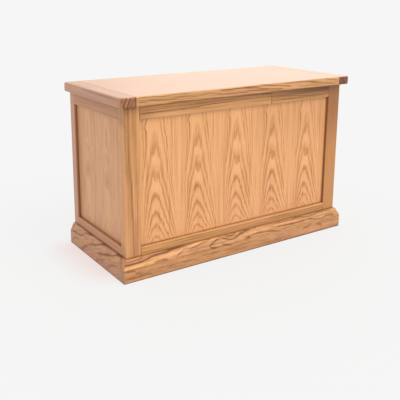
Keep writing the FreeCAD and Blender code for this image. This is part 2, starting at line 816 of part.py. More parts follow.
OUTER_HINGE = minus(LID_END, "Sizes.hinge_inset")
HINGES = {"left": f"(-{OUTER_HINGE})", "middle": "0", "right": OUTER_HINGE}
LEAF_SPAN = (minus(BACK, "Sizes.hinge_leaf_width"), BACK)
LEAF_MIDDLE = minus(BACK, "Sizes.hinge_leaf_width / 2")
CASE_LEAF_HEIGHTS = (minus(CARCASS_TOP, "Sizes.hinge_leaf_thickness"), CARCASS_TOP)
LID_LEAF_HEIGHTS = (LID_BOTTOM, plus(LID_BOTTOM, "Sizes.hinge_leaf_thickness"))
KNUCKLE_LENGTH = f"((Sizes.hinge_length - {KNUCKLES - 1} * Sizes.knuckle_gap) / {KNUCKLES})"


def leaf_screws(height, direction, centre):
    """Three screws in a row along a hinge leaf."""
    return [
        ((plus(centre, f"{step} * Sizes.hinge_screw_pitch"), LEAF_MIDDLE, height), direction)
        for step in (-1, 0, 1)
    ]


def case_leaf_screws():
    """All screws that hold the hinges to the carcass."""
    return [spot for centre in HINGES.values() for spot in leaf_screws(CARCASS_TOP, -Z_AXIS, centre)]


def lid_leaf_screws():
    """All screws that hold the hinges to the lid."""
    return [spot for centre in HINGES.values() for spot in leaf_screws(LID_BOTTOM, Z_AXIS, centre)]


def knuckle_span(centre, index):
    """The span along X of one knuckle of a hinge."""
    start = plus(
        minus(centre, "Sizes.hinge_length / 2"),
        f"{index} * ({KNUCKLE_LENGTH} + Sizes.knuckle_gap)",
    )
    return (start, plus(start, KNUCKLE_LENGTH))


def make_leaf(label, centre, heights, knuckles, spots):
    """A hinge leaf with its own knuckles, bored for the pin."""
    body = new_body(label)
    block(body, "leaf", middle(centre, "Sizes.hinge_length"), LEAF_SPAN, heights)
    for index in knuckles:
        span = knuckle_span(centre, index)
        block(body, f"root_{index}", span, (BACK, HINGE_PLACE), heights)
        rod_along_x(
            body, f"knuckle_{index}", span, HINGE_PLACE, HINGE_HEIGHT, "Sizes.barrel_diameter"
        )
    bore = "(Sizes.hinge_pin_diameter + 2 * Sizes.hinge_pin_play)"
    rod_along_x(
        body, "pin_bore", middle(centre, "Sizes.hinge_length"), HINGE_PLACE, HINGE_HEIGHT, bore,
        cut=True,
    )
    screw_holes(body, "brass", spots)


def make_hinges():
    """Three brass butt hinges and their screws."""
    for name, centre in HINGES.items():
        make_leaf(
            f"hinge_{name}_case_leaf", centre, CASE_LEAF_HEIGHTS, range(0, KNUCKLES, 2),
            leaf_screws(CARCASS_TOP, -Z_AXIS, centre),
        )
        make_leaf(
            f"hinge_{name}_lid_leaf", centre, LID_LEAF_HEIGHTS, range(1, KNUCKLES, 2),
            leaf_screws(LID_BOTTOM, Z_AXIS, centre),
        )
        pin = new_body(f"hinge_{name}_pin")
        low, high = middle(centre, "Sizes.hinge_length")
        head = "Sizes.hinge_pin_head_length"
        for part, span, diameter in (
            ("pin", (low, high), "Sizes.hinge_pin_diameter"),
            ("low_head", (minus(low, head), low), "Sizes.hinge_pin_head_diameter"),
            ("high_head", (high, plus(high, head)), "Sizes.hinge_pin_head_diameter"),
        ):
            rod_along_x(pin, part, span, HINGE_PLACE, HINGE_HEIGHT, diameter)
    screw_group("hinge_screws_case", "brass", case_leaf_screws())
    screw_group("hinge_screws_lid", "brass", lid_leaf_screws())


# ---------------------------------------------------------------- lid stays


def stay_plate_screws(side):
    """The two screws of a stud plate, above the stud."""
    face = LENGTH_FACES[side]
    x = inward(face, PLATE_FACE, PLATE_FACE)[0]
    z = plus(STUD_HEIGHT, "Sizes.stay_plate_screw_rise")
    outward = X_AXIS * -face[1]
    return [((x, y, z), outward) for y in middle(STUD_PLACE, "Sizes.stay_plate_screw_pitch")]


def bracket_screws(side):
    """The two screws of a lid bracket, through its foot."""
    middle_depth = plus(TAB_DEPTHS[0], "Sizes.bracket_foot_width / 2")
    x = inward(LENGTH_FACES[side], middle_depth, middle_depth)[0]
    z = minus(LID_PANEL_BOTTOM, "Sizes.bracket_thickness")
    return [((x, y, z), Z_AXIS) for y in middle(PIVOT_PLACE, "Sizes.bracket_screw_pitch")]


def make_stud_plate(side):
    """The plate on the top rail of an end wall that carries the stud."""
    face = LENGTH_FACES[side]
    body = new_body(f"stay_{side}_stud_plate")
    low = minus(STUD_HEIGHT, "Sizes.stay_plate_foot")
    block(
        body, "plate", inward(face, "Sizes.rail_thickness", PLATE_FACE),
        middle(STUD_PLACE, "Sizes.stay_plate_length"), (low, plus(low, "Sizes.stay_plate_height")),
    )
    rod_along_x(
        body, "stud_hole", inward(face, "Sizes.rail_thickness", PLATE_FACE), STUD_PLACE,
        STUD_HEIGHT, "Sizes.stud_diameter", cut=True,
    )
    screw_holes(body, "brass", stay_plate_screws(side))
    stud = new_body(f"stay_{side}_stud")
    head_end = plus(TAB_DEPTHS[0], "Sizes.stud_head_length")
    for part, depths, diameter in (
        ("shank", ("Sizes.rail_thickness", head_end), "Sizes.stud_diameter"),
        ("collar", (PLATE_FACE, COLLAR_FACE), "Sizes.stud_collar_diameter"),
        ("head", (TAB_DEPTHS[0], head_end), "Sizes.stud_head_diameter"),
    ):
        rod_along_x(stud, part, inward(face, *depths), STUD_PLACE, STUD_HEIGHT, diameter)


def make_arm(side):
    """The slotted arm, drawn upright below its pivot and tilted into the closed position."""
    body = new_body(f"stay_{side}_arm")
    face = LENGTH_FACES[side]
    span = inward(("0", -face[1]), f"-({ARM_DEPTHS[1]} - {ARM_DEPTHS[0]}) / 2",
                  f"({ARM_DEPTHS[1]} - {ARM_DEPTHS[0]}) / 2")
    width = "Sizes.stay_arm_width"
    slot_width = "(Sizes.stud_diameter + 2 * Sizes.stay_running_gap)"
    slot_top = minus(CLOSED_REACH, "Sizes.stay_running_gap")
    slot_end = plus(OPEN_REACH, "Sizes.stay_running_gap")
    block(body, "bar", span, middle("0", width), (f"(-{slot_end})", "0"))
    rod_along_x(body, "pivot_end", span, "0", "0", width)
    rod_along_x(body, "free_end", span, "0", f"(-{slot_end})", width)
    block(body, "slot", span, middle("0", slot_width), (f"(-{slot_end})", f"(-{slot_top})"), cut=True)
    for name, reach in (("slot_top", slot_top), ("slot_end", slot_end)):
        rod_along_x(body, name, span, "0", f"(-{reach})", slot_width, cut=True)
    rod_along_x(
        body, "pivot_hole", span, "0", "0", "(Sizes.rivet_diameter + 2 * Sizes.hinge_pin_play)",
        cut=True,
    )
    middle_depth = f"(({ARM_DEPTHS[0]} + {ARM_DEPTHS[1]}) / 2)"
    body.Placement = FreeCAD.Placement(FreeCAD.Vector(), FreeCAD.Rotation(X_AXIS, 1))
    body.setExpression("Placement.Rotation.Angle", ARM_SLOPE)
    body.setExpression("Placement.Base.x", inward(face, middle_depth, middle_depth)[0])
    body.setExpression("Placement.Base.y", PIVOT_PLACE)
    body.setExpression("Placement.Base.z", PIVOT_HEIGHT)


def make_bracket(side):
    """The angle bracket under the lid that carries the pivot, and the pivot's rivet."""
    face = LENGTH_FACES[side]
    body = new_body(f"stay_{side}_lid_bracket")
    foot_depths = (TAB_DEPTHS[0], plus(TAB_DEPTHS[0], "Sizes.bracket_foot_width"))
    foot_low = minus(LID_PANEL_BOTTOM, "Sizes.bracket_thickness")
    block(
        body, "foot", inward(face, *foot_depths), middle(PIVOT_PLACE, "Sizes.bracket_foot_length"),
        (foot_low, LID_PANEL_BOTTOM),
    )
    tab = inward(face, *TAB_DEPTHS)
    block(
        body, "tab", tab, middle(PIVOT_PLACE, "Sizes.bracket_tab_width"),
        (PIVOT_HEIGHT, LID_PANEL_BOTTOM),
    )
    rod_along_x(body, "tab_end", tab, PIVOT_PLACE, PIVOT_HEIGHT, "Sizes.bracket_tab_width")
    rod_along_x(
        body, "rivet_hole", tab, PIVOT_PLACE, PIVOT_HEIGHT, "Sizes.rivet_diameter", cut=True
    )
    screw_holes(body, "bracket", bracket_screws(side))
    rivet = new_body(f"stay_{side}_rivet")
    outer_head = minus(COLLAR_FACE, "Sizes.rivet_head_length")
    inner_head = plus(TAB_DEPTHS[1], "Sizes.rivet_head_length")
    for part, depths, diameter in (
        ("shank", (outer_head, inner_head), "Sizes.rivet_diameter"),
        ("outer_head", (outer_head, COLLAR_FACE), "Sizes.rivet_head_diameter"),
        ("inner_head", (TAB_DEPTHS[1], inner_head), "Sizes.rivet_head_diameter"),
    ):
        rod_along_x(rivet, part, inward(face, *depths), PIVOT_PLACE, PIVOT_HEIGHT, diameter)


def make_stays():
    """A sliding stay at each end of the chest."""
    for side in LENGTH_FACES:
        make_stud_plate(side)
        make_arm(side)
        make_bracket(side)
    plate_spots = [spot for side in LENGTH_FACES for spot in stay_plate_screws(side)]
    screw_group("stay_plate_screws", "brass", plate_spots)
    bracket_spots = [spot for side in LENGTH_FACES for spot in bracket_screws(side)]
    screw_group("stay_bracket_screws", "bracket", bracket_spots)


# ---------------------------------------------------------------- build, check and write

make_frame()
make_panels()
make_floor()
make_plinth()
make_lid()
make_hinges()
make_stays()
document.recompute()

for item in document.Objects:
    if "Invalid" in item.State or "Error" in item.State:
        raise RuntimeError(f"{item.Label} failed: {item.State}")
for node in nodes:
    if node.Shape.isNull() or not node.Shape.isValid() or not node.Shape.Solids:
        raise RuntimeError(f"{node.Label} has no valid shape")

os.makedirs("parts", exist_ok=True)
for node in nodes:
    node.Shape.exportStep(f"parts/{node.Label}.step")
print(f"{len(nodes)} nodes written")
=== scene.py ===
"""Looks of a framed blanket chest: camera, studio, and procedural finishes for every node."""
import math
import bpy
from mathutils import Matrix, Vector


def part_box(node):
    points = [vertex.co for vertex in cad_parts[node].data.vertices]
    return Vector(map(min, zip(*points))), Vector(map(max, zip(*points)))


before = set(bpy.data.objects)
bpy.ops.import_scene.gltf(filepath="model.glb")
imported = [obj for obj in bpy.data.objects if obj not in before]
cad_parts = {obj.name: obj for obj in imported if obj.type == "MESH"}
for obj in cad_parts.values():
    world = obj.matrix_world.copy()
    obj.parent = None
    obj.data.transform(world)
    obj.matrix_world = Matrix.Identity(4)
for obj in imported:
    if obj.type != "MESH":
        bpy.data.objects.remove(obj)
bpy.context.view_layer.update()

from types import SimpleNamespace

import bpy
from mathutils import Vector

MM = 0.001


def box_in_mm(node):
    """The lowest and the highest corner of a CAD node's box, in millimetres."""
    low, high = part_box(node)
    return low / MM, high / MM


# The frame's own measures, in millimetres
CARCASS_LOW = box_in_mm("post_front_left")[0]
CARCASS_HIGH = box_in_mm("post_rear_right")[1]
POST_WIDTH, POST_THICKNESS, _ = box_in_mm("post_front_left")[1] - CARCASS_LOW
PANEL_LOW = box_in_mm("front_bottom_rail")[1].z
PANEL_HIGH = box_in_mm("front_top_rail_long")[0].z
PANEL_RECESS = box_in_mm("front_panel")[0].y - CARCASS_LOW.y
PLINTH_TOP = box_in_mm("plinth_front")[1].z
BUTT_JOINT = box_in_mm("front_top_rail_long")[1].x
CLEAT_JOINT = box_in_mm("lid_right_cleat")[0].x

# ---------------------------------------------------------------- camera

CAMERA_AZIMUTH = -32.89
CAMERA_ELEVATION = 13.12
CAMERA_DISTANCE = 2.0911
CAMERA_TARGET = Vector((-0.1277, -0.0042, 0.3629))
CAMERA_LENS = 56.09
CAMERA_SHIFT = (0.05, -0.15)


def add_camera():
    """The camera at the photograph's viewing angle."""
    azimuth = math.radians(CAMERA_AZIMUTH)
    elevation = math.radians(CAMERA_ELEVATION)
    back = Vector((
        math.sin(azimuth) * math.cos(elevation),
        -math.cos(azimuth) * math.cos(elevation),
        math.sin(elevation),
    ))
    data = bpy.data.cameras.new("camera")
    data.lens = CAMERA_LENS
    data.sensor_width = 36.0
    data.shift_x, data.shift_y = CAMERA_SHIFT
    camera = bpy.data.objects.new("camera", data)
    bpy.context.collection.objects.link(camera)
    camera.location = CAMERA_TARGET + back * CAMERA_DISTANCE
    camera.rotation_euler = back.to_track_quat("Z", "Y").to_euler()
    bpy.context.scene.camera = camera


# ---------------------------------------------------------------- studio

BACKGROUND = 0.9216
FLOOR_RADIUS = 40.0
FLOOR_SIDES = 64
FLOOR_GLOW = 0.86
# Beside the chest's left end, the floor is reddish with light thrown back by the wood
FLOOR_BOUNCE = (0.915, 0.77, 0.75, 1.0)
BOUNCE_REACH = 135.0
# The floor's shade begins this far inside the plinth's outline, in millimetres
SHADE_INSET = 14.0
SUNS = {
    # name: (direction towards the light, strength, angle across in degrees, colour)
    "key": ((0.30, -0.62, 0.72), 1.45, 38.0, (1.0, 0.97, 0.93)),
    "top": ((0.10, 0.35, 0.93), 0.45, 60.0, (1.0, 0.98, 0.97)),
    "back": ((0.72, 0.60, 0.36), 0.35, 50.0, (1.0, 0.99, 0.98)),
}


def floor_albedo():
    """How white the floor is, so that in full light it is as bright as the background."""
    light = BACKGROUND
    for direction, strength, _, colour in SUNS.values():
        upward = Vector(direction).normalized().z
        light += strength * upward * sum(colour) / 3 / math.pi
    return BACKGROUND / light


def add_studio():
    """Soft wide suns, an even pale world and a pale floor."""
    for name, (direction, strength, angle, colour) in SUNS.items():
        data = bpy.data.lights.new(name, "SUN")
        data.energy = strength
        data.angle = math.radians(angle)
        data.color = colour
        light = bpy.data.objects.new(name, data)
        bpy.context.collection.objects.link(light)
        light.rotation_euler = Vector(direction).to_track_quat("Z", "Y").to_euler()
    world = bpy.data.worlds.new("studio")
    bpy.context.scene.world = world
    world.use_nodes = True
    backdrop = world.node_tree.nodes["Background"]
    backdrop.inputs["Color"].default_value = (BACKGROUND, BACKGROUND, BACKGROUND, 1.0)
    mesh = bpy.data.meshes.new("floor")
    corners = [
        (FLOOR_RADIUS * math.cos(turn), FLOOR_RADIUS * math.sin(turn), 0.0)
        for turn in (math.tau * step / FLOOR_SIDES for step in range(FLOOR_SIDES))
    ]
    mesh.from_pydata(corners, [], [range(FLOOR_SIDES)])
    floor = bpy.data.objects.new("floor", mesh)
    bpy.context.collection.objects.link(floor)
    mesh.materials.append(floor_material())


# ---------------------------------------------------------------- shader helpers

# Each end of a stroke tapers, to either side of it, over this share of the stroke's length or over
# the longest taper in millimetres, whichever is less
TAPER_SHARE = 0.22
LONGEST_TAPER = 16.0


class Graph:
    """Shader nodes written as calls: each call adds one node and returns its output."""

    def __init__(self, name):
        self.material = bpy.data.materials.new(name)
        self.material.use_nodes = True
        self.tree = self.material.node_tree
        self.tree.nodes.clear()
        self.output = self.tree.nodes.new("ShaderNodeOutputMaterial")

    def fill(self, socket, value):
        """Links a socket to an output, or sets its value."""
        if isinstance(value, bpy.types.NodeSocket):
            self.tree.links.new(value, socket)
        else:
            socket.default_value = value

    def math(self, operation, *values):
        node = self.tree.nodes.new("ShaderNodeMath")
        node.operation = operation
        for socket, value in zip(node.inputs, values):
            self.fill(socket, value)
        return node.outputs[0]

    def add(self, first, *rest):
        for value in rest:
            first = self.math("ADD", first, value)
        return first

    def sub(self, a, b):
        return self.math("SUBTRACT", a, b)

    def mul(self, first, *rest):
        for value in rest:
            first = self.math("MULTIPLY", first, value)
        return first

    def linear(self, value, factor, offset):
        return self.math("MULTIPLY_ADD", value, factor, offset)

    def smooth(self, value, low, high):
        """0 below low and 1 above high, with a smooth step between."""
        node = self.tree.nodes.new("ShaderNodeMapRange")
        node.interpolation_type = "SMOOTHSTEP"
        self.fill(node.inputs["Value"], value)
        self.fill(node.inputs["From Min"], low)
        self.fill(node.inputs["From Max"], high)
        return node.outputs["Result"]

    def hump(self, *offsets):
        """1 where every offset is 0, falling to about 0.37 where their squares add up to 1."""
        total = None
        for offset in offsets:
            square = self.mul(offset, offset)
            total = square if total is None else self.add(total, square)
        return self.math("POWER", math.exp(-1), total)

    def oval(self, across, up, middle, height, half_width, half_height):
        """An oval spot: 1 at its middle and height, falling off over its half width and height."""
        return self.hump(
            self.linear(across, 1 / half_width, -middle / half_width),
            self.linear(up, 1 / half_height, -height / half_height),
        )

    def vector(self, x, y, z):
        node = self.tree.nodes.new("ShaderNodeCombineXYZ")
        for socket, value in zip(node.inputs, (x, y, z)):
            self.fill(socket, value)
        return node.outputs[0]

    def parts(self, vector):
        node = self.tree.nodes.new("ShaderNodeSeparateXYZ")
        self.fill(node.inputs[0], vector)
        return tuple(node.outputs)

    def noise(self, place, cells, seed=0.0, detail=2.0, roughness=0.5):
        """Noise from about -1 to 1 at a place whose cells measure cells along x, y and z."""
        scaled = [self.mul(value, 1 / cell) for value, cell in zip(place, cells)]
        node = self.tree.nodes.new("ShaderNodeTexNoise")
        node.noise_dimensions = "4D"
        self.fill(node.inputs["Vector"], self.vector(*scaled))
        self.fill(node.inputs["W"], seed)
        node.inputs["Scale"].default_value = 1.0
        node.inputs["Detail"].default_value = detail
        node.inputs["Roughness"].default_value = roughness
        return self.linear(node.outputs["Fac"], 2.0, -1.0)

    def noise_1d(self, value, detail=1.0):
        node = self.tree.nodes.new("ShaderNodeTexNoise")
        node.noise_dimensions = "1D"
        self.fill(node.inputs["W"], value)
        node.inputs["Scale"].default_value = 1.0
        node.inputs["Detail"].default_value = detail
        return self.linear(node.outputs["Fac"], 2.0, -1.0)

    def mix(self, factor, first, second, blend="MIX"):
        node = self.tree.nodes.new("ShaderNodeMix")
        node.data_type = "RGBA"
        node.blend_type = blend
        self.fill(node.inputs["Factor"], factor)
        self.fill(node.inputs["A"], first)
        self.fill(node.inputs["B"], second)
        return node.outputs["Result"]

    def curve(self, value, points):
        """A smooth curve through points, whose values and results both run from 0 to 1."""
        node = self.tree.nodes.new("ShaderNodeFloatCurve")
        track = node.mapping.curves[0]
        track.points[0].location = points[0]
        track.points[1].location = points[-1]
        for place, result in points[1:-1]:
            track.points.new(place, result)
        node.mapping.update()
        self.fill(node.inputs["Value"], value)
        return node.outputs[0]

    def stroke(self, along, up, points, width):
        """1 on a line drawn through points (along, up), in millimetres, falling off over width
        and tapering at both ends."""
        start, end = points[0][0], points[-1][0]
        low = min(level for _, level in points)
        rise = max(level for _, level in points) - low + 1.0
        shape = [((place - start) / (end - start), (level - low) / rise) for place, level in points]
        share = self.linear(along, 1 / (end - start), -start / (end - start))
        line = self.linear(self.curve(share, shape), rise, low)
        taper = min(TAPER_SHARE * (end - start), LONGEST_TAPER)
        begun = self.smooth(along, start - taper, start + taper)
        unended = self.smooth(along, end + taper, end - taper)
        return self.mul(self.hump(self.mul(self.sub(up, line), 1 / width)), self.mul(begun, unended))

    def place(self):
        """The place on the piece in millimetres, as (x, y, z), and the normal on the piece."""
        node = self.tree.nodes.new("ShaderNodeTexCoord")
        spot = tuple(self.mul(value, 1 / MM) for value in self.parts(node.outputs["Object"]))
        return spot, self.parts(node.outputs["Normal"])

    def surface(self, colour, roughness, height, depth, **uniform):
        """A Principled surface, whose relief is depth millimetres high where height goes up by one;
        uniform values go on the shader's own sockets."""
        shader = self.tree.nodes.new("ShaderNodeBsdfPrincipled")
        self.fill(shader.inputs["Base Color"], colour)
        self.fill(shader.inputs["Roughness"], roughness)
        for name, value in uniform.items():
            shader.inputs[name.replace("_", " ").title().replace("Ior", "IOR")].default_value = value
        bump = self.tree.nodes.new("ShaderNodeBump")
        bump.inputs["Strength"].default_value = 1.0
        bump.inputs["Distance"].default_value = depth * MM
        self.fill(bump.inputs["Height"], height)
        self.tree.links.new(bump.outputs[0], shader.inputs["Normal"])
        self.tree.links.new(shader.outputs[0], self.output.inputs["Surface"])
        return self.material


def shade(red, green, blue):
    """A colour given as eight-bit sRGB, as a linear colour with alpha."""
    linear = [
        value / 255 / 12.92 if value <= 10 else ((value / 255 + 0.055) / 1.055) ** 2.4
        for value in (red, green, blue)
    ]
    return (*linear, 1.0)


def floor_material():
    """A pale floor that glows as the background does, less so close beside the chest."""
    graph = Graph("floor")
    tree = graph.tree
    (x, y, _), _ = graph.place()
    low, high = box_in_mm("plinth_left")
    past_end = graph.sub(graph.math("ABSOLUTE", x), -low.x)
    past_side = graph.sub(graph.math("ABSOLUTE", graph.sub(y, (low.y + high.y) / 2)), (high.y - low.y) / 2)
    clear = graph.smooth(graph.math("MAXIMUM", past_end, past_side), -SHADE_INSET, 0.0)
    glow_share = graph.mul(clear, FLOOR_GLOW)
    beside = graph.smooth(x, low.x - BOUNCE_REACH, low.x + 15.0)
    along_end = graph.mul(
        graph.smooth(y, low.y - 5.0, low.y + 130.0), graph.smooth(y, high.y + 60.0, high.y - 60.0),
        graph.smooth(x, 0.0, low.x + 15.0),
    )
    bounce = graph.mix(
        graph.mul(beside, along_end), (BACKGROUND, BACKGROUND, BACKGROUND, 1.0), FLOOR_BOUNCE
    )
    diffuse = tree.nodes.new("ShaderNodeBsdfDiffuse")
    albedo = floor_albedo()
    diffuse.inputs["Color"].default_value = (albedo, albedo, albedo, 1.0)
    glow = tree.nodes.new("ShaderNodeEmission")
    tree.links.new(bounce, glow.inputs["Color"])
    both = tree.nodes.new("ShaderNodeMixShader")
    tree.links.new(glow_share, both.inputs[0])
    tree.links.new(diffuse.outputs[0], both.inputs[1])
    tree.links.new(glow.outputs[0], both.inputs[2])
    tree.links.new(both.outputs[0], graph.output.inputs["Surface"])
    return graph.material


# ---------------------------------------------------------------- wood

VARNISH = {"coat_weight": 0.22, "coat_roughness": 0.28, "coat_ior": 1.5, "specular_ior_level": 0.3}
LID_VARNISH = {**VARNISH, "coat_weight": 0.6}
CLEAT_VARNISH = {**VARNISH, "coat_weight": 0.4}
# The dark colour of joint lines and of painted shade in corners, recesses and under the lid, in eight-bit
# sRGB
GRIME_AND_SHADE = (84, 38, 6)
# Tints between which the hue of the wood drifts, multiplied into its colour
OLIVE = (0.94, 0.95, 0.78, 1.0)
ROSE = (1.0, 0.96, 1.06, 1.0)


class Palette:
    """The colours of one board: its light and dark wood, the blush of its patches and its pores."""

    def __init__(self, light, dark, blush, pore=(122, 78, 40)):
        self.light, self.dark = shade(*light), shade(*dark)
        self.blush, self.pore = shade(*blush), shade(*pore)


def blended(graph, factor, first, second):
    """A palette that turns from one into another."""
    return SimpleNamespace(**{
        name: graph.mix(factor, tone, getattr(second, name)) for name, tone in vars(first).items()
    })


def along_and_across(spot, axis):
    """A place as (along the grain, across it, across it the other way)."""
    x, y, z = spot
    return {"x": (x, y, z), "y": (y, x, z), "z": (z, x, y)}[axis]


# Where in a year its growth line is darkest
LINE_PEAK = 0.92


def ring_tone(graph, count, seed, width=0.32, even=0.35):
    """How dark the growth lines are, 0 to 1, where count goes up by one for each line. A line takes
    the last part of a year, as wide as width says, and even says how alike the years are."""
    count = graph.add(count, graph.mul(graph.noise_1d(graph.linear(count, 0.41, seed)), 0.8))
    step = graph.math("FRACT", count)
    year = graph.math("FLOOR", count)
    rise = graph.smooth(step, 1.0 - width, LINE_PEAK)
    fall = graph.smooth(step, 1.0, LINE_PEAK)
    strength = graph.linear(graph.noise_1d(graph.linear(year, 1.37, seed + 0.7), 0.0), 1.1, 0.35 + even)
    return graph.mul(rise, fall, graph.math("MAXIMUM", strength, 0.08))


def wood_surface(graph, palette, grain, seed, tone, patch, dirt_and_shade, end=None, fine=1.0, varnish=VARNISH,
                 hues=1.0):
    """Colour, gloss and relief of varnished wood, from how dark its figure is (tone), how blushed
    (patch) and how much its joint lines and painted shade darken it. Grain is a place as (along,
    across, other), fine the strength of the fibres and hues that of the drift in hue. End is (how
    far a face shows end grain, its tint)."""
    streak = graph.noise(grain, (130.0, 2.4, 2.4), seed, 3.0, 0.6)
    fibre = graph.noise(grain, (210.0, 5.2, 5.2), seed + 3.7, 1.0)
    pores = graph.smooth(graph.noise(grain, (11.0, 0.6, 0.6), seed + 7.3, 1.0), 0.26, 0.55)
    hue = graph.noise(grain, (190.0, 15.0, 15.0), seed + 17.0, 1.0)
    tone = graph.add(tone, graph.mul(streak, 0.34 * fine), graph.mul(fibre, 0.26 * fine))
    colour = graph.mix(graph.smooth(patch, -0.15, 0.75), palette.light, palette.blush)
    colour = graph.mix(graph.smooth(tone, -0.2, 1.0), colour, palette.dark)
    colour = graph.mix(graph.mul(graph.smooth(hue, 0.0, 0.5), hues), colour, OLIVE, "MULTIPLY")
    colour = graph.mix(graph.mul(graph.smooth(hue, 0.0, -0.5), hues), colour, ROSE, "MULTIPLY")
    colour = graph.mix(graph.mul(pores, 0.28), colour, palette.pore)
    if end is not None:
        facing, tint = end
        colour = graph.mix(facing, colour, (*tint, 1.0), "MULTIPLY")
    # Darkens the joint lines, and paints shade into corners and recesses
    colour = graph.mix(dirt_and_shade, colour, shade(*GRIME_AND_SHADE))
    roughness = graph.linear(streak, 0.06, 0.46)
    height = graph.sub(graph.mul(streak, 0.35), graph.add(graph.mul(pores, 0.8), graph.mul(tone, 0.3)))
    return graph.surface(colour, roughness, height, depth=0.08, **varnish)


def seams(graph, spot, joints):
    """The dark hairlines where boards meet, one of them a painted shadow line under the lid, from each
    joint's axis, place, half width and strength.
    """
    total = 0.0
    for axis, place, width, strength in joints:
        line = graph.hump(graph.linear(spot["xyz".index(axis)], 1 / width, -place / width))
        total = graph.math("MAXIMUM", graph.mul(line, strength), total)
    return total


def fade(graph, spot, steps):
    """A darker corner, 0 to 1: each step names an axis, where it begins and where it is full."""
    return graph.mul(*(graph.smooth(spot["xyz".index(axis)], start, full) for axis, start, full in steps))


def add_corner_shade(graph, spot, dirt_and_shade, corners):
    """The dark joint lines of a surface with its darker corners added, most of them painted shade, each
    given as (steps of its fade, strength).
    """
    for steps, strength in corners:
        dirt_and_shade = graph.math("MAXIMUM", graph.mul(fade(graph, spot, steps), strength), dirt_and_shade)
    return dirt_and_shade


def recess_shade(graph, spot):
    """Painted shade on the frame's inner edges round the panels, 0 to 1."""
    x, y, z = spot
    centre, half = (CARCASS_LOW + CARCASS_HIGH) / 2, (CARCASS_HIGH - CARCASS_LOW) / 2
    away_x = graph.math("ABSOLUTE", graph.sub(x, centre.x))
    away_y = graph.math("ABSOLUTE", graph.sub(y, centre.y))
    level = graph.mul(
        graph.smooth(z, PANEL_LOW - 0.5, PANEL_LOW), graph.smooth(z, PANEL_HIGH + 0.5, PANEL_HIGH)
    )
    shades = []
    for away, face, other, opening in (
        (away_y, half.y, away_x, half.x - POST_WIDTH),
        (away_x, half.x, away_y, half.y - POST_THICKNESS),
    ):
        within = graph.smooth(other, opening + 0.5, opening)
        bottom = face - PANEL_RECESS
        sunk = graph.mul(
            graph.smooth(away, bottom - 1.4, bottom - 0.4), graph.smooth(away, face - 1.0, face - 6.0)
        )
        shades.append(graph.mul(within, sunk, level))
    ledge = graph.smooth(z, PANEL_LOW + 3.0, PANEL_LOW + 1.0)
    return graph.mul(graph.math("MAXIMUM", *shades), graph.linear(ledge, -0.18, 0.54))


def board(name, axis, palette, seed, pith=None, pitch=7.0, slope=0.01, wander=5.0, reach=320.0, width=0.32,
          even=0.35, lines=0.8, end_lines=None, top_lines=None, bands=0.5, patches=(300.0, 40.0), base=0.06,
          tilt=0.0, mottle=0.0, fine=1.0, strokes=(), joints=(), corners=(), framed=False, top_palette=None,
          end_tint=(0.62, 0.50, 0.50), varnish=VARNISH):
    """A solid board along an axis: its faces show long grain and its ends show rings.

    Growth lines circle a pith line (across, other) or, without one, lie flat. They are pitch apart,
    drift by slope along the board and wander over a reach, all in millimetres. Lines, end_lines and
    top_lines say how strong they are on the sides, the ends and the top, and width and even are
    those of ring_tone. Bands, mottle and base are broad streaks, small blots and an even darkening.
    Strokes are single lines, most of them of the figure and a few of them painted highlight or
    shade, (points of (along, up), half width, strength). Joints are darker lines, corners are
    darker, mostly with painted shade, and the recess round a panel where the board is framed carries painted
    shade."""
    graph = Graph(name)
    spot, normal = graph.place()
    along, across, other = along_and_across(spot, axis)
    up, deep = (across, other) if axis == "z" else (other, across)
    if tilt:
        other = graph.add(other, graph.mul(along, tilt))
    grain = (along, across, other)
    drift = graph.mul(graph.noise(grain, (reach, 75.0, 75.0), seed, 2.0, 0.5), wander)
    ripple = graph.mul(graph.noise(grain, (reach / 4, 14.0, 14.0), seed + 3.1), wander * 0.14)
    if pith is None:
        level = graph.add(other, graph.mul(across, 0.4))
    else:
        offsets = (graph.sub(across, pith[0]), graph.sub(other, pith[1]))
        level = graph.math("SQRT", graph.add(*(graph.mul(offset, offset) for offset in offsets)))
    level = graph.add(level, graph.mul(along, slope), drift, ripple)
    soft = graph.noise(grain, (230.0, 7.0, 7.0), seed + 5.0, 1.0)
    facing = graph.smooth(graph.math("ABSOLUTE", normal["xyz".index(axis)]), 0.55, 0.9)
    above = graph.smooth(normal[2], 0.86, 0.98)
    if top_lines is not None:
        lines = graph.linear(above, top_lines - lines, lines)
    if end_lines is not None:
        lines = graph.add(graph.mul(graph.sub(end_lines, lines), facing), lines)
    tone = graph.add(
        graph.mul(ring_tone(graph, graph.mul(level, 1 / pitch), seed, width, even), lines),
        graph.mul(soft, bands), base,
    )
    if mottle:
        tone = graph.add(tone, graph.mul(graph.noise(grain, (24.0, 7.0, 7.0), seed + 13.0, 2.0), mottle))
    if strokes:
        jitter = graph.noise((along, up, deep), (17.0, 6.0, 30.0), seed + 8.0, 1.0)
        uneven = graph.noise((along, up, deep), (26.0, 12.0, 30.0), seed + 9.0, 1.0)
        drawn = 0.0
        for points, half_width, strength in strokes:
            line = graph.stroke(along, graph.add(up, graph.mul(jitter, 0.8)), points, half_width)
            drawn = graph.add(graph.mul(line, strength), drawn)
        tone = graph.add(tone, graph.mul(drawn, graph.linear(uneven, 0.35, 0.76)))
    patch = graph.noise(grain, (patches[0], patches[1], patches[1]), seed + 11.0)
    dirt_and_shade = seams(graph, spot, joints)
    if top_palette is not None:
        dirt_and_shade = graph.mul(dirt_and_shade, graph.linear(above, -0.45, 1.0))
        palette = blended(graph, above, palette, top_palette)
    # Painted shade in the recess round the panel
    if framed:
        dirt_and_shade = graph.math("MAXIMUM", recess_shade(graph, spot), dirt_and_shade)
    # Darker corners, most of them painted shade
    dirt_and_shade = add_corner_shade(graph, spot, dirt_and_shade, corners)
    return wood_surface(graph, palette, grain, seed, tone, patch, dirt_and_shade, (facing, end_tint), fine, varnish)


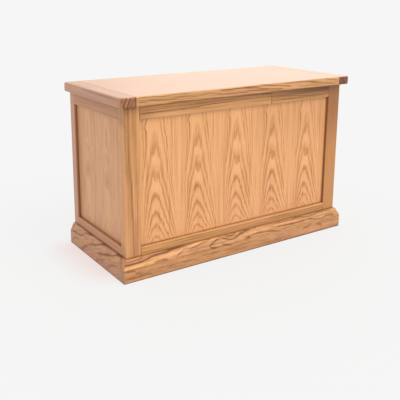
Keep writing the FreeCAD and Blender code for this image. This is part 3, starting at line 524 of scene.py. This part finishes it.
# The flame figure of the veneer, in millimetres on a leaf: u runs across from the heart line, v up.
# A growth line is known by the height at which it would meet the heart line if its tip weren't
# blunt. On the right it runs down straight, towards the place RIGHT_REACH across at height 0, and
# on the left in a bow, towards LEFT_REACH, which grows with the height.
# Each dark flame: (height where it starts, where it is darkest, where it ends, strength).
FLAMES = (
    (116.0, 128.0, 139.0, 0.46),
    (154.0, 166.0, 180.0, 0.52),
    (191.0, 209.0, 228.0, 0.60),
    (247.0, 270.0, 300.0, 0.54),
    (328.0, 341.0, 404.0, 0.56),
    (400.0, 415.0, 492.0, 0.54),
    (552.0, 582.0, 618.0, 0.48),
    (648.0, 682.0, 724.0, 0.58),
    (815.0, 848.0, 885.0, 0.32),
    (1015.0, 1062.0, 1115.0, 0.42),
    (1275.0, 1340.0, 1410.0, 0.30),
    (1600.0, 1690.0, 1790.0, 0.30),
)
RIGHT_REACH = 97.0
LEFT_REACH = 59.0
LEFT_BOW = 1.47
STEEPEST_FALL = 0.94
# Light teeth that cut up into the two widest flames: (across, up, half width, length)
TOOTH_HALF_HEIGHT = 30.0
TEETH = (
    (3.0, 386.0, 4.5, 24.0), (-14.0, 370.0, 3.5, 16.0), (13.0, 364.0, 3.5, 14.0),
    (-11.0, 308.0, 4.5, 30.0), (10.0, 302.0, 4.0, 26.0),
)
# Pale patches under the two widest flames: (up, half height, half width)
CROWNS = ((281.0, 19.0, 19.0), (357.0, 18.0, 17.0))
# The figure stands highest at this count of leaves, which lies between two of them, and sinks in
# each leaf by this much times the square of how many leaves away it is
HIGHEST_LEAF = 1.7
LEAF_SINK = 3.3
# The dark line left of the flames: how far it lies across, and how it moves over on its way up as
# (where it starts to move, where it ends, by how much)
KNOT_LINE = -44.0
KNOT_LINE_BENDS = ((310.0, 400.0, 13.0), (448.0, 464.0, -7.0), (464.0, 490.0, 10.0))


def flame_height(graph, u, v, leaf, seed):
    """How high on the heart line the growth line through a place starts."""
    wander = graph.noise((u, v, leaf), (24.0, 80.0, 3.0), seed, 1.0)
    quiver = graph.noise((u, v, leaf), (6.0, 34.0, 3.0), seed + 2.0, 1.0)
    u = graph.add(u, graph.mul(wander, 3.2), graph.mul(quiver, 2.0))
    right = graph.mul(graph.math("MAXIMUM", u, 0.0), 1 / RIGHT_REACH)
    left_reach = graph.add(
        LEFT_REACH,
        graph.mul(graph.smooth(v, 130.0, 330.0), 15.0),
        graph.mul(graph.smooth(v, 400.0, 490.0), 38.0),
    )
    left = graph.math("DIVIDE", graph.math("MAXIMUM", graph.mul(u, -1.0), 0.0), left_reach)
    fall = graph.add(right, graph.math("POWER", left, LEFT_BOW))
    widest = graph.mul(graph.smooth(v, 262.0, 298.0), graph.smooth(v, 352.0, 326.0))
    blunt = graph.linear(widest, 0.058, 0.066)
    fall = graph.math("SQRT", graph.add(graph.mul(fall, fall), graph.mul(blunt, blunt)))
    height = graph.math("DIVIDE", v, graph.sub(1.0, graph.math("MINIMUM", fall, STEEPEST_FALL)))
    for across, up, half_width, length in TEETH:
        tooth = graph.oval(u, v, across, up, half_width, TOOTH_HALF_HEIGHT)
        height = graph.sub(height, graph.mul(tooth, length))
    ragged = graph.noise((u, v, leaf), (4.0, 40.0, 3.0), seed + 5.0, 1.0)
    return graph.add(height, graph.mul(ragged, 14.0))


def pin_knots(graph, u, v):
    """The dark line left of the flames, with a pin knot at each end, dark above 0, light below."""
    moves = (graph.mul(graph.smooth(v, start, end), shift) for start, end, shift in KNOT_LINE_BENDS)
    offset = graph.sub(u, graph.add(KNOT_LINE, *moves))
    stronger_above = graph.linear(graph.smooth(v, 385.0, 415.0), 0.10, 0.22)
    line = graph.mul(graph.hump(graph.mul(offset, 1 / 2.7)), stronger_above, graph.smooth(v, 300.0, 325.0))
    beside = graph.mul(graph.hump(graph.linear(u, 1 / 1.7, 42 / 1.7)), graph.smooth(v, 345.0, 375.0), 0.28)
    ripples = graph.linear(graph.math("SINE", graph.mul(v, 0.85)), 0.35, 0.2)
    lower_knot = graph.mul(graph.oval(u, v, -46.0, 312.0, 4.0, 11.0), ripples)
    curl = graph.oval(u, v, -39.0, 308.0, 2.4, 13.0)
    glint = graph.oval(offset, v, 5.0, 468.0, 2.4, 16.0)
    return graph.add(line, beside, lower_knot, graph.mul(graph.add(curl, glint), -0.45))


def flame_tone(graph, u, v, leaf, seed):
    """How dark the flame figure is at a place of a leaf, 0 to 1."""
    height = flame_height(graph, u, v, leaf, seed)
    total = 0.0
    for low, peak, high, strength in FLAMES:
        rise = graph.smooth(height, low, peak)
        fall = graph.smooth(height, peak, high)
        total = graph.add(total, graph.mul(graph.sub(rise, fall), strength))
    outside = graph.mul(graph.smooth(u, -34.0, -46.0), graph.smooth(v, 370.0, 420.0), 0.55)
    total = graph.mul(total, graph.sub(1.0, outside))
    for up, half_height, half_width in CROWNS:
        pale = graph.oval(u, v, 0.0, up, half_width, half_height)
        total = graph.sub(total, graph.mul(pale, 0.34))
    fine = graph.noise_1d(graph.mul(graph.math("LOGARITHM", height, math.e), 16.0))
    return graph.add(total, graph.mul(fine, 0.22), pin_knots(graph, u, v))


def veneer(name, directions, palette, seed, leaf_pitch, leaf_start, heart, contrast=1.0, drop=0.0,
           frame_box=(), joints=(), corners=(), dashes=0.15, marks=(), varnish=VARNISH):
    """Slip-matched veneer: every leaf shows the same flame figure, cut a little deeper each time.

    Directions names the axes across the leaves and up them. Leaves are leaf_pitch wide from
    leaf_start, with their heart line heart into them and their figure lowered by drop. Frame_box is
    the opening of the frame round the panel, (low, high) across and then up. Dashes says how strong
    the short flecks are, and marks are strokes of (points of (up, across), half width, strength)."""
    graph = Graph(name)
    spot, _ = graph.place()
    across, along = (spot["xyz".index(direction)] for direction in directions)
    leaf = graph.math("FLOOR", graph.linear(across, 1 / leaf_pitch, -leaf_start / leaf_pitch))
    u = graph.sub(across, graph.linear(leaf, leaf_pitch, leaf_start + heart))
    leaves_away = graph.sub(leaf, HIGHEST_LEAF)
    v = graph.add(along, graph.linear(graph.mul(leaves_away, leaves_away), LEAF_SINK, drop - 6.0))
    tone = graph.mul(flame_tone(graph, u, v, leaf, seed), contrast)
    margin = graph.smooth(u, 50.0 - heart, -heart)
    hairs = graph.noise((u, v, leaf), (3.2, 300.0, 3.0), seed + 9.0, 1.0)
    plain = graph.smooth(graph.math("ABSOLUTE", graph.sub(u, -4.0)), 22.0, 55.0)
    dash = graph.noise((u, v, leaf), (3.8, 90.0, 3.0), seed + 6.0, 1.0)
    tone = graph.add(
        tone,
        graph.mul(margin, 0.10 * contrast),
        graph.mul(hairs, plain, 0.55),
        graph.mul(dash, dashes),
        0.05,
    )
    for points, half_width, strength in marks:
        tone = graph.add(tone, graph.mul(graph.stroke(along, across, points, half_width), strength))
    patch = graph.add(
        graph.noise((u, v, leaf), (45.0, 260.0, 4.0), seed + 4.0), graph.linear(v, -0.0025, 0.62)
    )
    # Dark joint lines, and darker corners of painted shade
    dirt_and_shade = add_corner_shade(graph, spot, seams(graph, spot, joints), corners)
    if frame_box:
        # Painted light and shade: paler beside the frame, where the frame shades the panel, with a painted
        # shadow line in the crevice against it
        painted_light_margin = 0.0
        for value, (low, high) in zip((across, along), frame_box):
            near_low = graph.smooth(value, low + 16.0, low)
            near_high = graph.smooth(value, high - 16.0, high)
            painted_light_margin = graph.math("MAXIMUM", graph.math("MAXIMUM", near_low, near_high), painted_light_margin)
            at_low = graph.smooth(value, low + 2.6, low + 0.6)
            at_high = graph.smooth(value, high - 2.6, high - 0.6)
            dirt_and_shade = graph.math("MAXIMUM", graph.mul(graph.math("MAXIMUM", at_low, at_high), 0.45), dirt_and_shade)
        tone = graph.sub(tone, graph.mul(painted_light_margin, 0.30))
    grain = (along, across, leaf)
    return wood_surface(
        graph, palette, grain, seed, tone, patch, dirt_and_shade, fine=1.2, varnish=varnish, hues=0.4
    )


# ---------------------------------------------------------------- other finishes


def brass():
    """Lacquered brass with fine brushing and a few dull patches."""
    graph = Graph("brass")
    spot, _ = graph.place()
    brushed = graph.noise(spot, (3.0, 0.25, 0.25))
    dull = graph.noise(spot, (9.0, 9.0, 9.0), 1.0, 3.0)
    colour = graph.mix(graph.smooth(dull, -0.2, 0.6), shade(222, 180, 96), shade(176, 132, 66))
    roughness = graph.add(0.30, graph.mul(brushed, 0.08), graph.mul(dull, 0.06))
    return graph.surface(colour, roughness, brushed, depth=0.02, metallic=1.0)


def plated_steel():
    """Zinc-plated steel with a faint bloom."""
    graph = Graph("plated_steel")
    spot, _ = graph.place()
    bloom = graph.noise(spot, (4.0, 4.0, 4.0), 2.0, 3.0)
    colour = graph.mix(graph.smooth(bloom, -0.5, 0.5), shade(196, 198, 202), shade(150, 152, 158))
    return graph.surface(colour, graph.linear(bloom, 0.08, 0.36), bloom, depth=0.01, metallic=1.0)


def nylon():
    """Dark moulded nylon with a fine matt texture."""
    graph = Graph("nylon")
    spot, _ = graph.place()
    grain = graph.noise(spot, (0.45, 0.45, 0.45), 3.0)
    colour = graph.mix(graph.smooth(grain, -1.0, 1.0), shade(54, 42, 34), shade(74, 58, 46))
    return graph.surface(colour, graph.linear(grain, 0.06, 0.62), grain, depth=0.03)


def felt():
    """Brown felt: short matted fibres."""
    graph = Graph("felt")
    spot, _ = graph.place()
    matted = graph.noise(spot, (0.36, 0.36, 0.36), 4.0, 4.0, 0.7)
    colour = graph.mix(graph.smooth(matted, -0.6, 0.6), shade(92, 62, 44), shade(132, 94, 68))
    return graph.surface(colour, 0.95, matted, depth=0.15, sheen_weight=0.3)


# ---------------------------------------------------------------- dressing the nodes

# Palettes of light wood, dark wood and blushed patches, in eight-bit sRGB
PANEL = Palette((228, 168, 114), (172, 110, 54), (226, 162, 114))
SIDE_PANEL = Palette((219, 162, 115), (160, 102, 52), (216, 154, 116))
POST = Palette((217, 157, 102), (136, 88, 38), (212, 146, 102))
# The front right post's wood: more amber, and darker as painted shade under the lid
AMBER = Palette((192, 133, 81), (158, 102, 46), (190, 129, 82))
RAIL = Palette((216, 158, 100), (126, 74, 20), (202, 138, 90))
SIDE_POST = Palette((196, 147, 119), (146, 98, 66), (192, 138, 116))
SIDE_RAIL = Palette((191, 135, 94), (136, 85, 42), (190, 130, 98))
EDGE = Palette((213, 156, 98), (126, 77, 22), (206, 141, 94))
CLEAT = Palette((192, 138, 106), (120, 72, 36), (188, 132, 104))
CLEAT_TOP = Palette((206, 156, 117), (158, 106, 68), (204, 150, 116))
# Paler top for the right cleat: painted sheen, as the lid's top grows brighter towards the right
PALE_TOP = Palette((208, 168, 136), (196, 150, 116), (208, 166, 136))
PLINTH = Palette((235, 172, 114), (124, 72, 28), (216, 152, 114))
SIDE_PLINTH = Palette((220, 160, 114), (122, 72, 34), (208, 144, 112))
LID_TOP = Palette((203, 155, 111), (179, 128, 81), (203, 150, 109))
PINE = Palette((232, 200, 150), (200, 152, 96), (226, 186, 136), (196, 150, 100))

# Single lines of each figure, and a few lines of painted highlight and shade, marked where they stand, in
# millimetres: (points of (along, up), half width, strength). On a post, whose grain runs up, points are (up,
# across). A strength below 0 draws a light line.
PLINTH_STROKES = (
    (((-460, 48), (-400, 49), (-340, 52.5), (-280, 56), (-225, 61.5), (-160, 68), (-100, 72)), 5.0, -0.60),
    (((10, 60), (60, 62), (120, 61), (170, 63), (230, 61)), 3.8, -0.30),
    (((-452, 58), (-400, 57), (-370, 60.5), (-337, 65), (-310, 65.7), (-275, 69), (-225, 73)), 2.2, 1.2),
    (((-452, 66), (-410, 64), (-380, 69)), 1.8, 0.5),
    (((-344, 46.5), (-320, 48), (-298, 46.5)), 4.2, 0.52),
    (((-263, 45), (-258, 51), (-245, 56), (-225, 61.5), (-200, 60.5), (-162, 66), (-112, 73)), 2.5, 0.64),
    (((-138, 50), (-131, 55), (-122, 58.5), (-98, 66)), 2.6, 0.72),
    (((-138, 50), (-133, 46), (-126, 44), (-112, 42)), 2.6, 0.64),
    (((-94, 72), (-91.5, 62), (-88, 49), (-74, 43), (-48, 39)), 3.1, 0.48),
    (((-88, 71), (-78, 63), (-64, 58.5), (-50, 55), (-25, 59), (-5, 66), (30, 69)), 2.5, 0.72),
    (((-76, 73), (-62, 68), (-48, 67), (-22, 72)), 2.1, 0.56),
    (((118, 63), (140, 60), (175, 57), (250, 54), (290, 56), (330, 50), (356, 47.5), (390, 52), (424, 46)),
     2.2, 0.54),
    (((150, 70), (200, 66), (250, 69), (300, 64), (362, 68.5), (412, 64)), 1.9, 0.40),
    (((12, 44), (30, 50), (62, 53), (100, 51.5), (130, 47), (162, 40)), 2.2, 0.56),
    (((4, 47), (17, 49), (28, 47)), 3.9, 0.48),
    (((272, 29), (290, 33), (312, 38)), 2.6, 0.40),
    (((330, 31), (345, 29), (362, 20)), 6.5, 0.36),
    (((-446, 38), (-415, 36), (-408, 28), (-392, 25)), 4.5, 0.36),
    (((-440, 16), (-405, 14), (-380, 17), (-355, 12)), 3.6, 0.36),
    (((-330, 25), (-285, 22), (-240, 24), (-190, 18)), 2.6, 0.28),
    (((-170, 30), (-110, 27), (-60, 24), (20, 28), (90, 21)), 2.6, 0.28),
)
SIDE_PLINTH_STROKES = (
    (((-178, 44), (-168, 57), (-156, 69), (-136, 70), (-112, 60), (-75, 51), (-50, 44), (-22, 37)),
     3.2, 0.66),
    (((-75, 75), (-50, 71), (-25, 67), (0, 56), (25, 51), (54, 41)), 2.9, 0.66),
    (((40, 75), (62, 70), (87, 67), (104, 56), (117, 52), (178, 49)), 2.8, 0.60),
    (((-150, 40), (-120, 33), (-86, 14)), 3.5, 0.40),
    (((-60, 28), (-30, 21), (0, 8)), 7.2, 0.32),
    (((62, 34), (80, 25), (104, 6)), 5.8, 0.48),
    (((128, 34), (150, 31), (185, 14)), 4.3, 0.36),
)
EDGE_STROKES = (
    (((-397, 556), (-355, 556.6), (-315, 554), (-280, 556.2), (-225, 556)), 1.2, 0.9),
    (((-396, 542), (-384, 543), (-368, 541)), 2.2, 0.6),
    (((-362, 547), (-335, 545), (-305, 543), (-242, 546), (-205, 544), (-155, 548), (-130, 546), (-92, 543),
      (-50, 541.5), (0, 541)), 1.4, 0.7),
    (((-110, 558), (-80, 554), (-50, 555), (0, 556), (40, 554)), 1.8, 1.0),
    (((-20, 554), (15, 551.5), (32, 550), (62, 545.7), (100, 542.6), (145, 540.5)), 1.6, 0.95),
    (((46, 559), (75, 556.4), (105, 553), (140, 549.5), (180, 545)), 1.9, 0.95),
    (((0, 545), (60, 541), (95, 538), (135, 537.5)), 1.4, 0.7),
    (((152, 556), (190, 557), (225, 556.4), (262, 554.5), (302, 550)), 1.4, 0.85),
    (((205, 545), (250, 542), (275, 543), (305, 540)), 2.0, 0.6),
    (((258, 552), (300, 548), (325, 544.5), (378, 540.5)), 1.4, 0.75),
    (((334, 558.5), (362, 554.5), (394, 550)), 1.5, 0.8),
    # Painted shade: a dark line along the bottom of the lid's front edge, over the gap
    (((-300, 532), (-280, 534), (-200, 532.5), (0, 533), (200, 533), (398, 533.5)), 1.6, 0.8),
)
CLEAT_STROKES = (
    (((-188, 553.6), (-120, 553.9), (-30, 553.5), (45, 554.2)), 1.8, 0.62),
    (((-60, 541), (20, 542), (110, 540.5)), 1.6, 0.18),
)
# Marks on the side panels, as (up, across): the same in both leaves, round each one's heart line
SIDE_MARKS = tuple(
    (tuple((z + lift, heart + out) for z, out in points), half_width, strength)
    for heart, lift in ((-44, 0), (92, 4))
    for points, half_width, strength in (
        (((408, -17), (440, -13), (478, -3)), 3.6, -0.55),
        (((412, 15), (440, 11), (480, 2)), 3.6, -0.55),
        (((362, -6), (372, 1), (382, 5)), 5.0, -0.50),
        (((390, 0), (440, 0)), 6.0, 0.25),
        (((236, 1), (262, 2), (320, 0)), 14.0, 0.16),
        (((110, 0), (170, 1), (234, 0)), 7.0, -0.32),
        (((200, -12), (252, -10)), 2.6, -0.40),
        (((196, 12), (246, 11)), 2.6, -0.40),
    )
)
BOTTOM_RAIL_STROKES = (
    # Painted highlight along the rail's top arris
    (((-378, 96.8), (0, 97.0), (378, 96.8)), 1.7, -0.75),
    (((-378, 90), (-120, 91), (60, 88), (200, 90)), 1.3, 0.35),
    (((-300, 82), (-50, 84), (160, 81), (378, 84)), 1.3, 0.35),
)
SIDE_RAIL_STROKES = (
    # Painted highlight along the rail's top arris
    (((-148, 96.8), (0, 97.0), (164, 96.8)), 1.7, -0.6),
)
TOP_RAIL_STROKES = (
    (((-376, 525.5), (-200, 526), (0, 525), (117, 524)), 2.2, 0.7),
    (((-372, 506), (-265, 506.5), (-180, 508), (-150, 509.5), (-60, 512.5), (20, 514), (112, 513)),
     1.4, 0.75),
    (((-300, 519.5), (-220, 521), (-150, 520), (-40, 519)), 1.8, 0.35),
    (((-370, 513), (-300, 514), (-210, 515.5), (-140, 517)), 1.3, 0.35),
    (((-374, 500), (-320, 500.5), (-250, 503), (-170, 504.5)), 1.2, 0.45),
    (((-252, 497), (-210, 498), (-140, 499.5), (-60, 503)), 1.1, 0.35),
    (((20, 506), (70, 503), (115, 502)), 1.3, 0.4),
    (((120, 512), (200, 509), (262, 503), (372, 500)), 1.6, 0.5),
    (((124, 499), (190, 497.5), (260, 496), (330, 497)), 1.2, 0.4),
)
POST_STROKES = (
    (((190, -408.5), (290, -410), (330, -414), (420, -417.5), (532, -418.5)), 3.2, 0.44),
    (((62, -408), (190, -408.5)), 3.0, 0.06),
    (((330, -425), (430, -426), (532, -426)), 4.0, 0.30),
    (((60, -399), (120, -399), (190, -398)), 4.0, 0.14),
    (((190, -403), (330, -405), (440, -402)), 3.6, -0.18),
    (((190, -392), (300, -391)), 4.0, -0.16),
    (((60, -384), (180, -384)), 3.0, 0.10),
    (((200, -383), (300, -383), (532, -382)), 2.5, -0.30),
    (((80, -424), (200, -424), (300, -423)), 4.5, -0.25),
    # Painted light: lightens the post's whole left face, from 110 to 470 mm up
    (((110, -431), (300, -431), (470, -431)), 1.4, -0.35),
)

# Dark lines where the frame meets the lid and the plinth: (axis, place, half width, strength). The one under
# the lid is a painted shadow line.
UNDER_LID_SHADOW = ("z", CARCASS_HIGH.z + 3.0, 3.0, 0.6)
ON_PLINTH = ("z", PLINTH_TOP + 1.5, 2.4, 0.55)

# How far arrises are rounded, and how near corners are welded, in millimetres
LID_ARRIS = 0.6
FRAME_ARRIS = 0.9
PLINTH_ARRIS = 1.0
WELD_REACH = 0.02


def dress(node, material):
    """Gives a CAD node its finish."""
    for material_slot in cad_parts[node].material_slots:
        material_slot.material = material


def middle(node):
    """The middle of a node's box, in millimetres."""
    low, high = box_in_mm(node)
    return (low + high) / 2


def soften(node, width):
    """Rounds the arrises of a CAD node by a width in millimetres, after welding its split corners."""
    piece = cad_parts[node]
    weld = piece.modifiers.new("weld", "WELD")
    weld.merge_threshold = WELD_REACH * MM
    bevel = piece.modifiers.new("arris", "BEVEL")
    bevel.width = width * MM
    bevel.segments = 3
    bevel.limit_method = "ANGLE"
    bevel.angle_limit = math.radians(40)
    bevel.use_clamp_overlap = True
    bevel.harden_normals = False
    normals = piece.modifiers.new("normals", "WEIGHTED_NORMAL")
    normals.keep_sharp = True


def dress_posts():
    """Straight-grained corner posts, with the figure of the one at the front left drawn on it."""
    joints = (UNDER_LID_SHADOW, ON_PLINTH)
    posts = {
        # name: (palette, even darkening, figure drawn on it, darker corners of painted shade)
        "front_left": (POST, 0.26, POST_STROKES, (
            # Painted shadow of the lid across the top of the post's front
            ((("z", 517.0, 524.0), ("x", -388.0, -394.0), ("y", -176.0, -179.5)), 0.42),
        )),
        # Painted shade under the lid, growing darker towards the post's top
        "front_right": (AMBER, 0.06, (), (((("z", 250.0, 480.0),), 0.44),)),
        "rear_left": (SIDE_POST, 0.06, (), ()),
        "rear_right": (POST, 0.26, (), ()),
    }
    for index, (name, (palette, base, strokes, corners)) in enumerate(posts.items()):
        x, y, _ = middle(f"post_{name}")
        dress(f"post_{name}", board(
            f"wood_post_{name}", "z", palette, seed=1.7 + index, pith=(x - 80.0, y + 110.0), pitch=9.0,
            slope=0.012, wander=7.0, reach=420.0, width=0.7, even=0.2, lines=0.15, bands=0.3, base=base,
            strokes=strokes, joints=joints, corners=corners, framed=True,
        ))


def dress_rails():
    """Straight-grained rails, each from its own part of the tree."""
    post_edges = [side * (CARCASS_HIGH.x - POST_WIDTH) for side in (-1, 1)]
    joints = {
        "x": tuple(("x", edge, 1.6, 0.8) for edge in post_edges),
        "y": (
            ("y", CARCASS_LOW.y + POST_THICKNESS, 1.2, 0.6),
            ("y", CARCASS_HIGH.y - POST_THICKNESS, 1.4, 0.75),
        ),
    }
    top_rail_joints = (("x", BUTT_JOINT, 1.8, 0.85), *(("x", edge, 2.4, 0.85) for edge in post_edges))
    top_rail_corners = (
        # Painted shadow of the lid on the top rail, deepening towards the right
        ((("x", -100.0, 390.0), ("z", 480.0, 524.0)), 0.82),
        ((("x", -290.0, -385.0),), 0.26),
    )
    rails = sorted(
        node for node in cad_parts
        if node.endswith("_rail") and not node.startswith("lid") or node.startswith("front_top_rail")
    )
    for index, node in enumerate(rails):
        x, y, z = middle(node)
        sideways = node.startswith(("left", "right"))
        axis = "y" if sideways else "x"
        across = x if sideways else y
        places = joints[axis] + (UNDER_LID_SHADOW, ON_PLINTH)
        strokes, corners, base = (), (), 0.06
        if node.startswith("front_top_rail"):
            places += top_rail_joints
            strokes, corners = TOP_RAIL_STROKES, top_rail_corners
        elif node.endswith("bottom_rail") and sideways:
            strokes = SIDE_RAIL_STROKES
        elif node.endswith("bottom_rail"):
            strokes, base = BOTTOM_RAIL_STROKES, 0.25
        dress(node, board(
            f"wood_{node}", axis, SIDE_RAIL if sideways else RAIL, seed=21.3 + index * 1.9,
            pith=(across + 80.0 + 9 * (index % 3), z - 110.0), pitch=5.0, slope=0.006, wander=4.0,
            reach=380.0, width=0.6, lines=0.15 if sideways else 0.35, bands=0.35 if sideways else 0.5,
            base=base, strokes=strokes, joints=places, corners=corners, framed=True,
        ))


def dress_plinth():
    """Plinth boards: bold waving lines on the chamfer, and a calmer face below it."""
    # Painted shade: the face under the chamfer darker, darker still towards the floor, with a dark shadow
    # line along the foot
    corners = (
        ((("z", 7.0, 2.0),), 0.8),
        ((("z", 46.0, 42.0),), 0.10),
        ((("z", 32.0, 8.0),), 0.19),
    )
    near_mitre = ((("y", -150.0, -178.0), ("z", 54.0, 42.0)), 0.24)
    boards = {
        # name: (axis, palette, tilt of the grain, even darkening, figure drawn on it, darker corners)
        "front": ("x", PLINTH, 0.0, 0.33, PLINTH_STROKES, corners),
        "left": ("y", SIDE_PLINTH, 0.4, 0.28, SIDE_PLINTH_STROKES, (*corners, near_mitre)),
        "right": ("y", SIDE_PLINTH, 0.4, 0.28, SIDE_PLINTH_STROKES, (*corners, near_mitre)),
    }
    for index, (name, (axis, palette, tilt, base, strokes, darker)) in enumerate(boards.items()):
        dress(f"plinth_{name}", board(
            f"wood_plinth_{name}", axis, palette, seed=44.6 + index * 3.3, pitch=5.2, slope=-0.01,
            tilt=tilt, wander=9.0, reach=150.0, width=0.6, lines=0.2, bands=0.2, patches=(150.0, 14.0),
            base=base, mottle=0.26, fine=0.7, strokes=strokes, corners=darker,
        ))


def dress_panels():
    """Wall panels with slip-matched veneer, and the floor of the chest."""
    heights = (PANEL_LOW, PANEL_HIGH)
    across_x = (CARCASS_LOW.x + POST_WIDTH, CARCASS_HIGH.x - POST_WIDTH)
    across_y = (CARCASS_LOW.y + POST_THICKNESS, CARCASS_HIGH.y - POST_THICKNESS)
    dress("front_panel", veneer(
        "veneer_front", "xz", PANEL, seed=3.0, leaf_pitch=153.0, leaf_start=-386.0, heart=65.5,
        # Painted shade, darker towards the panel's upper right
        frame_box=(across_x, heights), corners=(((("x", 0.0, 110.0), ("z", 290.0, 450.0)), 0.11),),
    ))
    # Painted shade on the side panels, darker towards the rear post, the bottom rail and the top rail
    side_panel_shade = (
        ((("y", 100.0, 166.0),), 0.10),
        ((("z", 175.0, 100.0),), 0.09),
        ((("z", 455.0, 489.0),), 0.06),
    )
    for index, side in enumerate(("left", "right")):
        dress(f"{side}_panel", veneer(
            f"veneer_{side}", "yz", SIDE_PANEL, seed=13.0 + index, leaf_pitch=134.0, leaf_start=-107.0,
            heart=67.0, contrast=0.4, drop=40.0, frame_box=(across_y, heights), dashes=0.55,
            marks=SIDE_MARKS, corners=side_panel_shade,
        ))
    dress("rear_panel", veneer(
        "veneer_rear", "xz", SIDE_PANEL, seed=23.0, leaf_pitch=200.0, leaf_start=-400.0, heart=90.0,
        contrast=0.6, frame_box=(across_x, heights),
    ))
    dress("floor_panel", board(
        "wood_floor_panel", "x", SIDE_PANEL, seed=31.0, pith=(10.0, -60.0), pitch=9.0, slope=0.04,
        wander=26.0,
    ))


def dress_lid():
    """The lid: bold long grain in front, end grain at the cleats, a pale figured panel."""
    joints = tuple(("x", side * CLEAT_JOINT, 2.5, 0.85) for side in (-1, 1))
    dress("lid_panel", veneer(
        "veneer_lid", "yx", LID_TOP, seed=61.0, leaf_pitch=150.0, leaf_start=-154.0, heart=75.0,
        contrast=0.3, joints=joints, varnish=LID_VARNISH,
    ))
    for index, edge in enumerate(("front", "rear")):
        dress(f"lid_{edge}_rail", board(
            f"wood_lid_{edge}_rail", "x", EDGE, seed=71.0 + index * 2.7, pitch=4.2, slope=0.055, wander=4.0,
            reach=90.0, width=0.6, lines=0.35, top_lines=0.15, bands=0.4, strokes=EDGE_STROKES,
            top_palette=LID_TOP, joints=joints, varnish=LID_VARNISH,
        ))
    # Painted shade along the rounded top edge at the lid's left end
    rounded_edge_shade = ((("x", -424.0, -446.0), ("z", 555.0, 559.0)), 0.17)
    cleats = {
        # side: (where the pith lies across, tint of the end grain, palette of the top, darker corners)
        "left": (75.0, (0.72, 0.63, 0.44), CLEAT_TOP, (rounded_edge_shade,)),
        "right": (-60.0, (0.41, 0.26, 0.17), PALE_TOP, ()),
    }
    for index, (side, (pith, tint, top, corners)) in enumerate(cleats.items()):
        x, _, z = middle(f"lid_{side}_cleat")
        dress(f"lid_{side}_cleat", board(
            f"wood_lid_{side}_cleat", "y", CLEAT, seed=81.0 + index * 2.3, pith=(x + pith, z - 34.0),
            pitch=9.0, slope=0.01, wander=4.0, width=0.6, lines=0.1, end_lines=1.2, top_lines=0.5, bands=0.3,
            top_palette=top, strokes=CLEAT_STROKES, joints=joints, corners=corners, end_tint=tint,
            varnish=CLEAT_VARNISH,
        ))


def dress_hardware():
    """Brass, steel, nylon and felt pieces, and the battens and dowels of pine."""
    brass_finish = brass()
    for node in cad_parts:
        if node.startswith(("hinge_", "stay_")):
            dress(node, brass_finish)
    dress("batten_screws", plated_steel())
    dress("floor_glides", nylon())
    dress("lid_bumpers", felt())
    for index, wall in enumerate(("front", "rear", "left", "right")):
        axis = "x" if wall in ("front", "rear") else "y"
        dress(f"floor_batten_{wall}", board(
            f"pine_{wall}", axis, PINE, seed=91.0 + index, pith=(30.0, 20.0), pitch=3.4, slope=0.02
        ))
    dress("front_rail_dowels", board("pine_dowels", "x", PINE, seed=97.0, pith=(0.0, 0.0), pitch=3.0))


def soften_wood():
    """Eased arrises on every board of the frame, the plinth and the lid."""
    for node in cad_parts:
        if node.startswith("lid_") and node != "lid_bumpers":
            soften(node, LID_ARRIS)
        elif node.startswith("plinth"):
            soften(node, PLINTH_ARRIS)
        elif node.startswith("post_") or "_rail" in node and node != "front_rail_dowels":
            soften(node, FRAME_ARRIS)


add_camera()
add_studio()
dress_posts()
dress_rails()
dress_plinth()
dress_panels()
dress_lid()
dress_hardware()
soften_wood()
bpy.context.scene.view_settings.view_transform = "Standard"
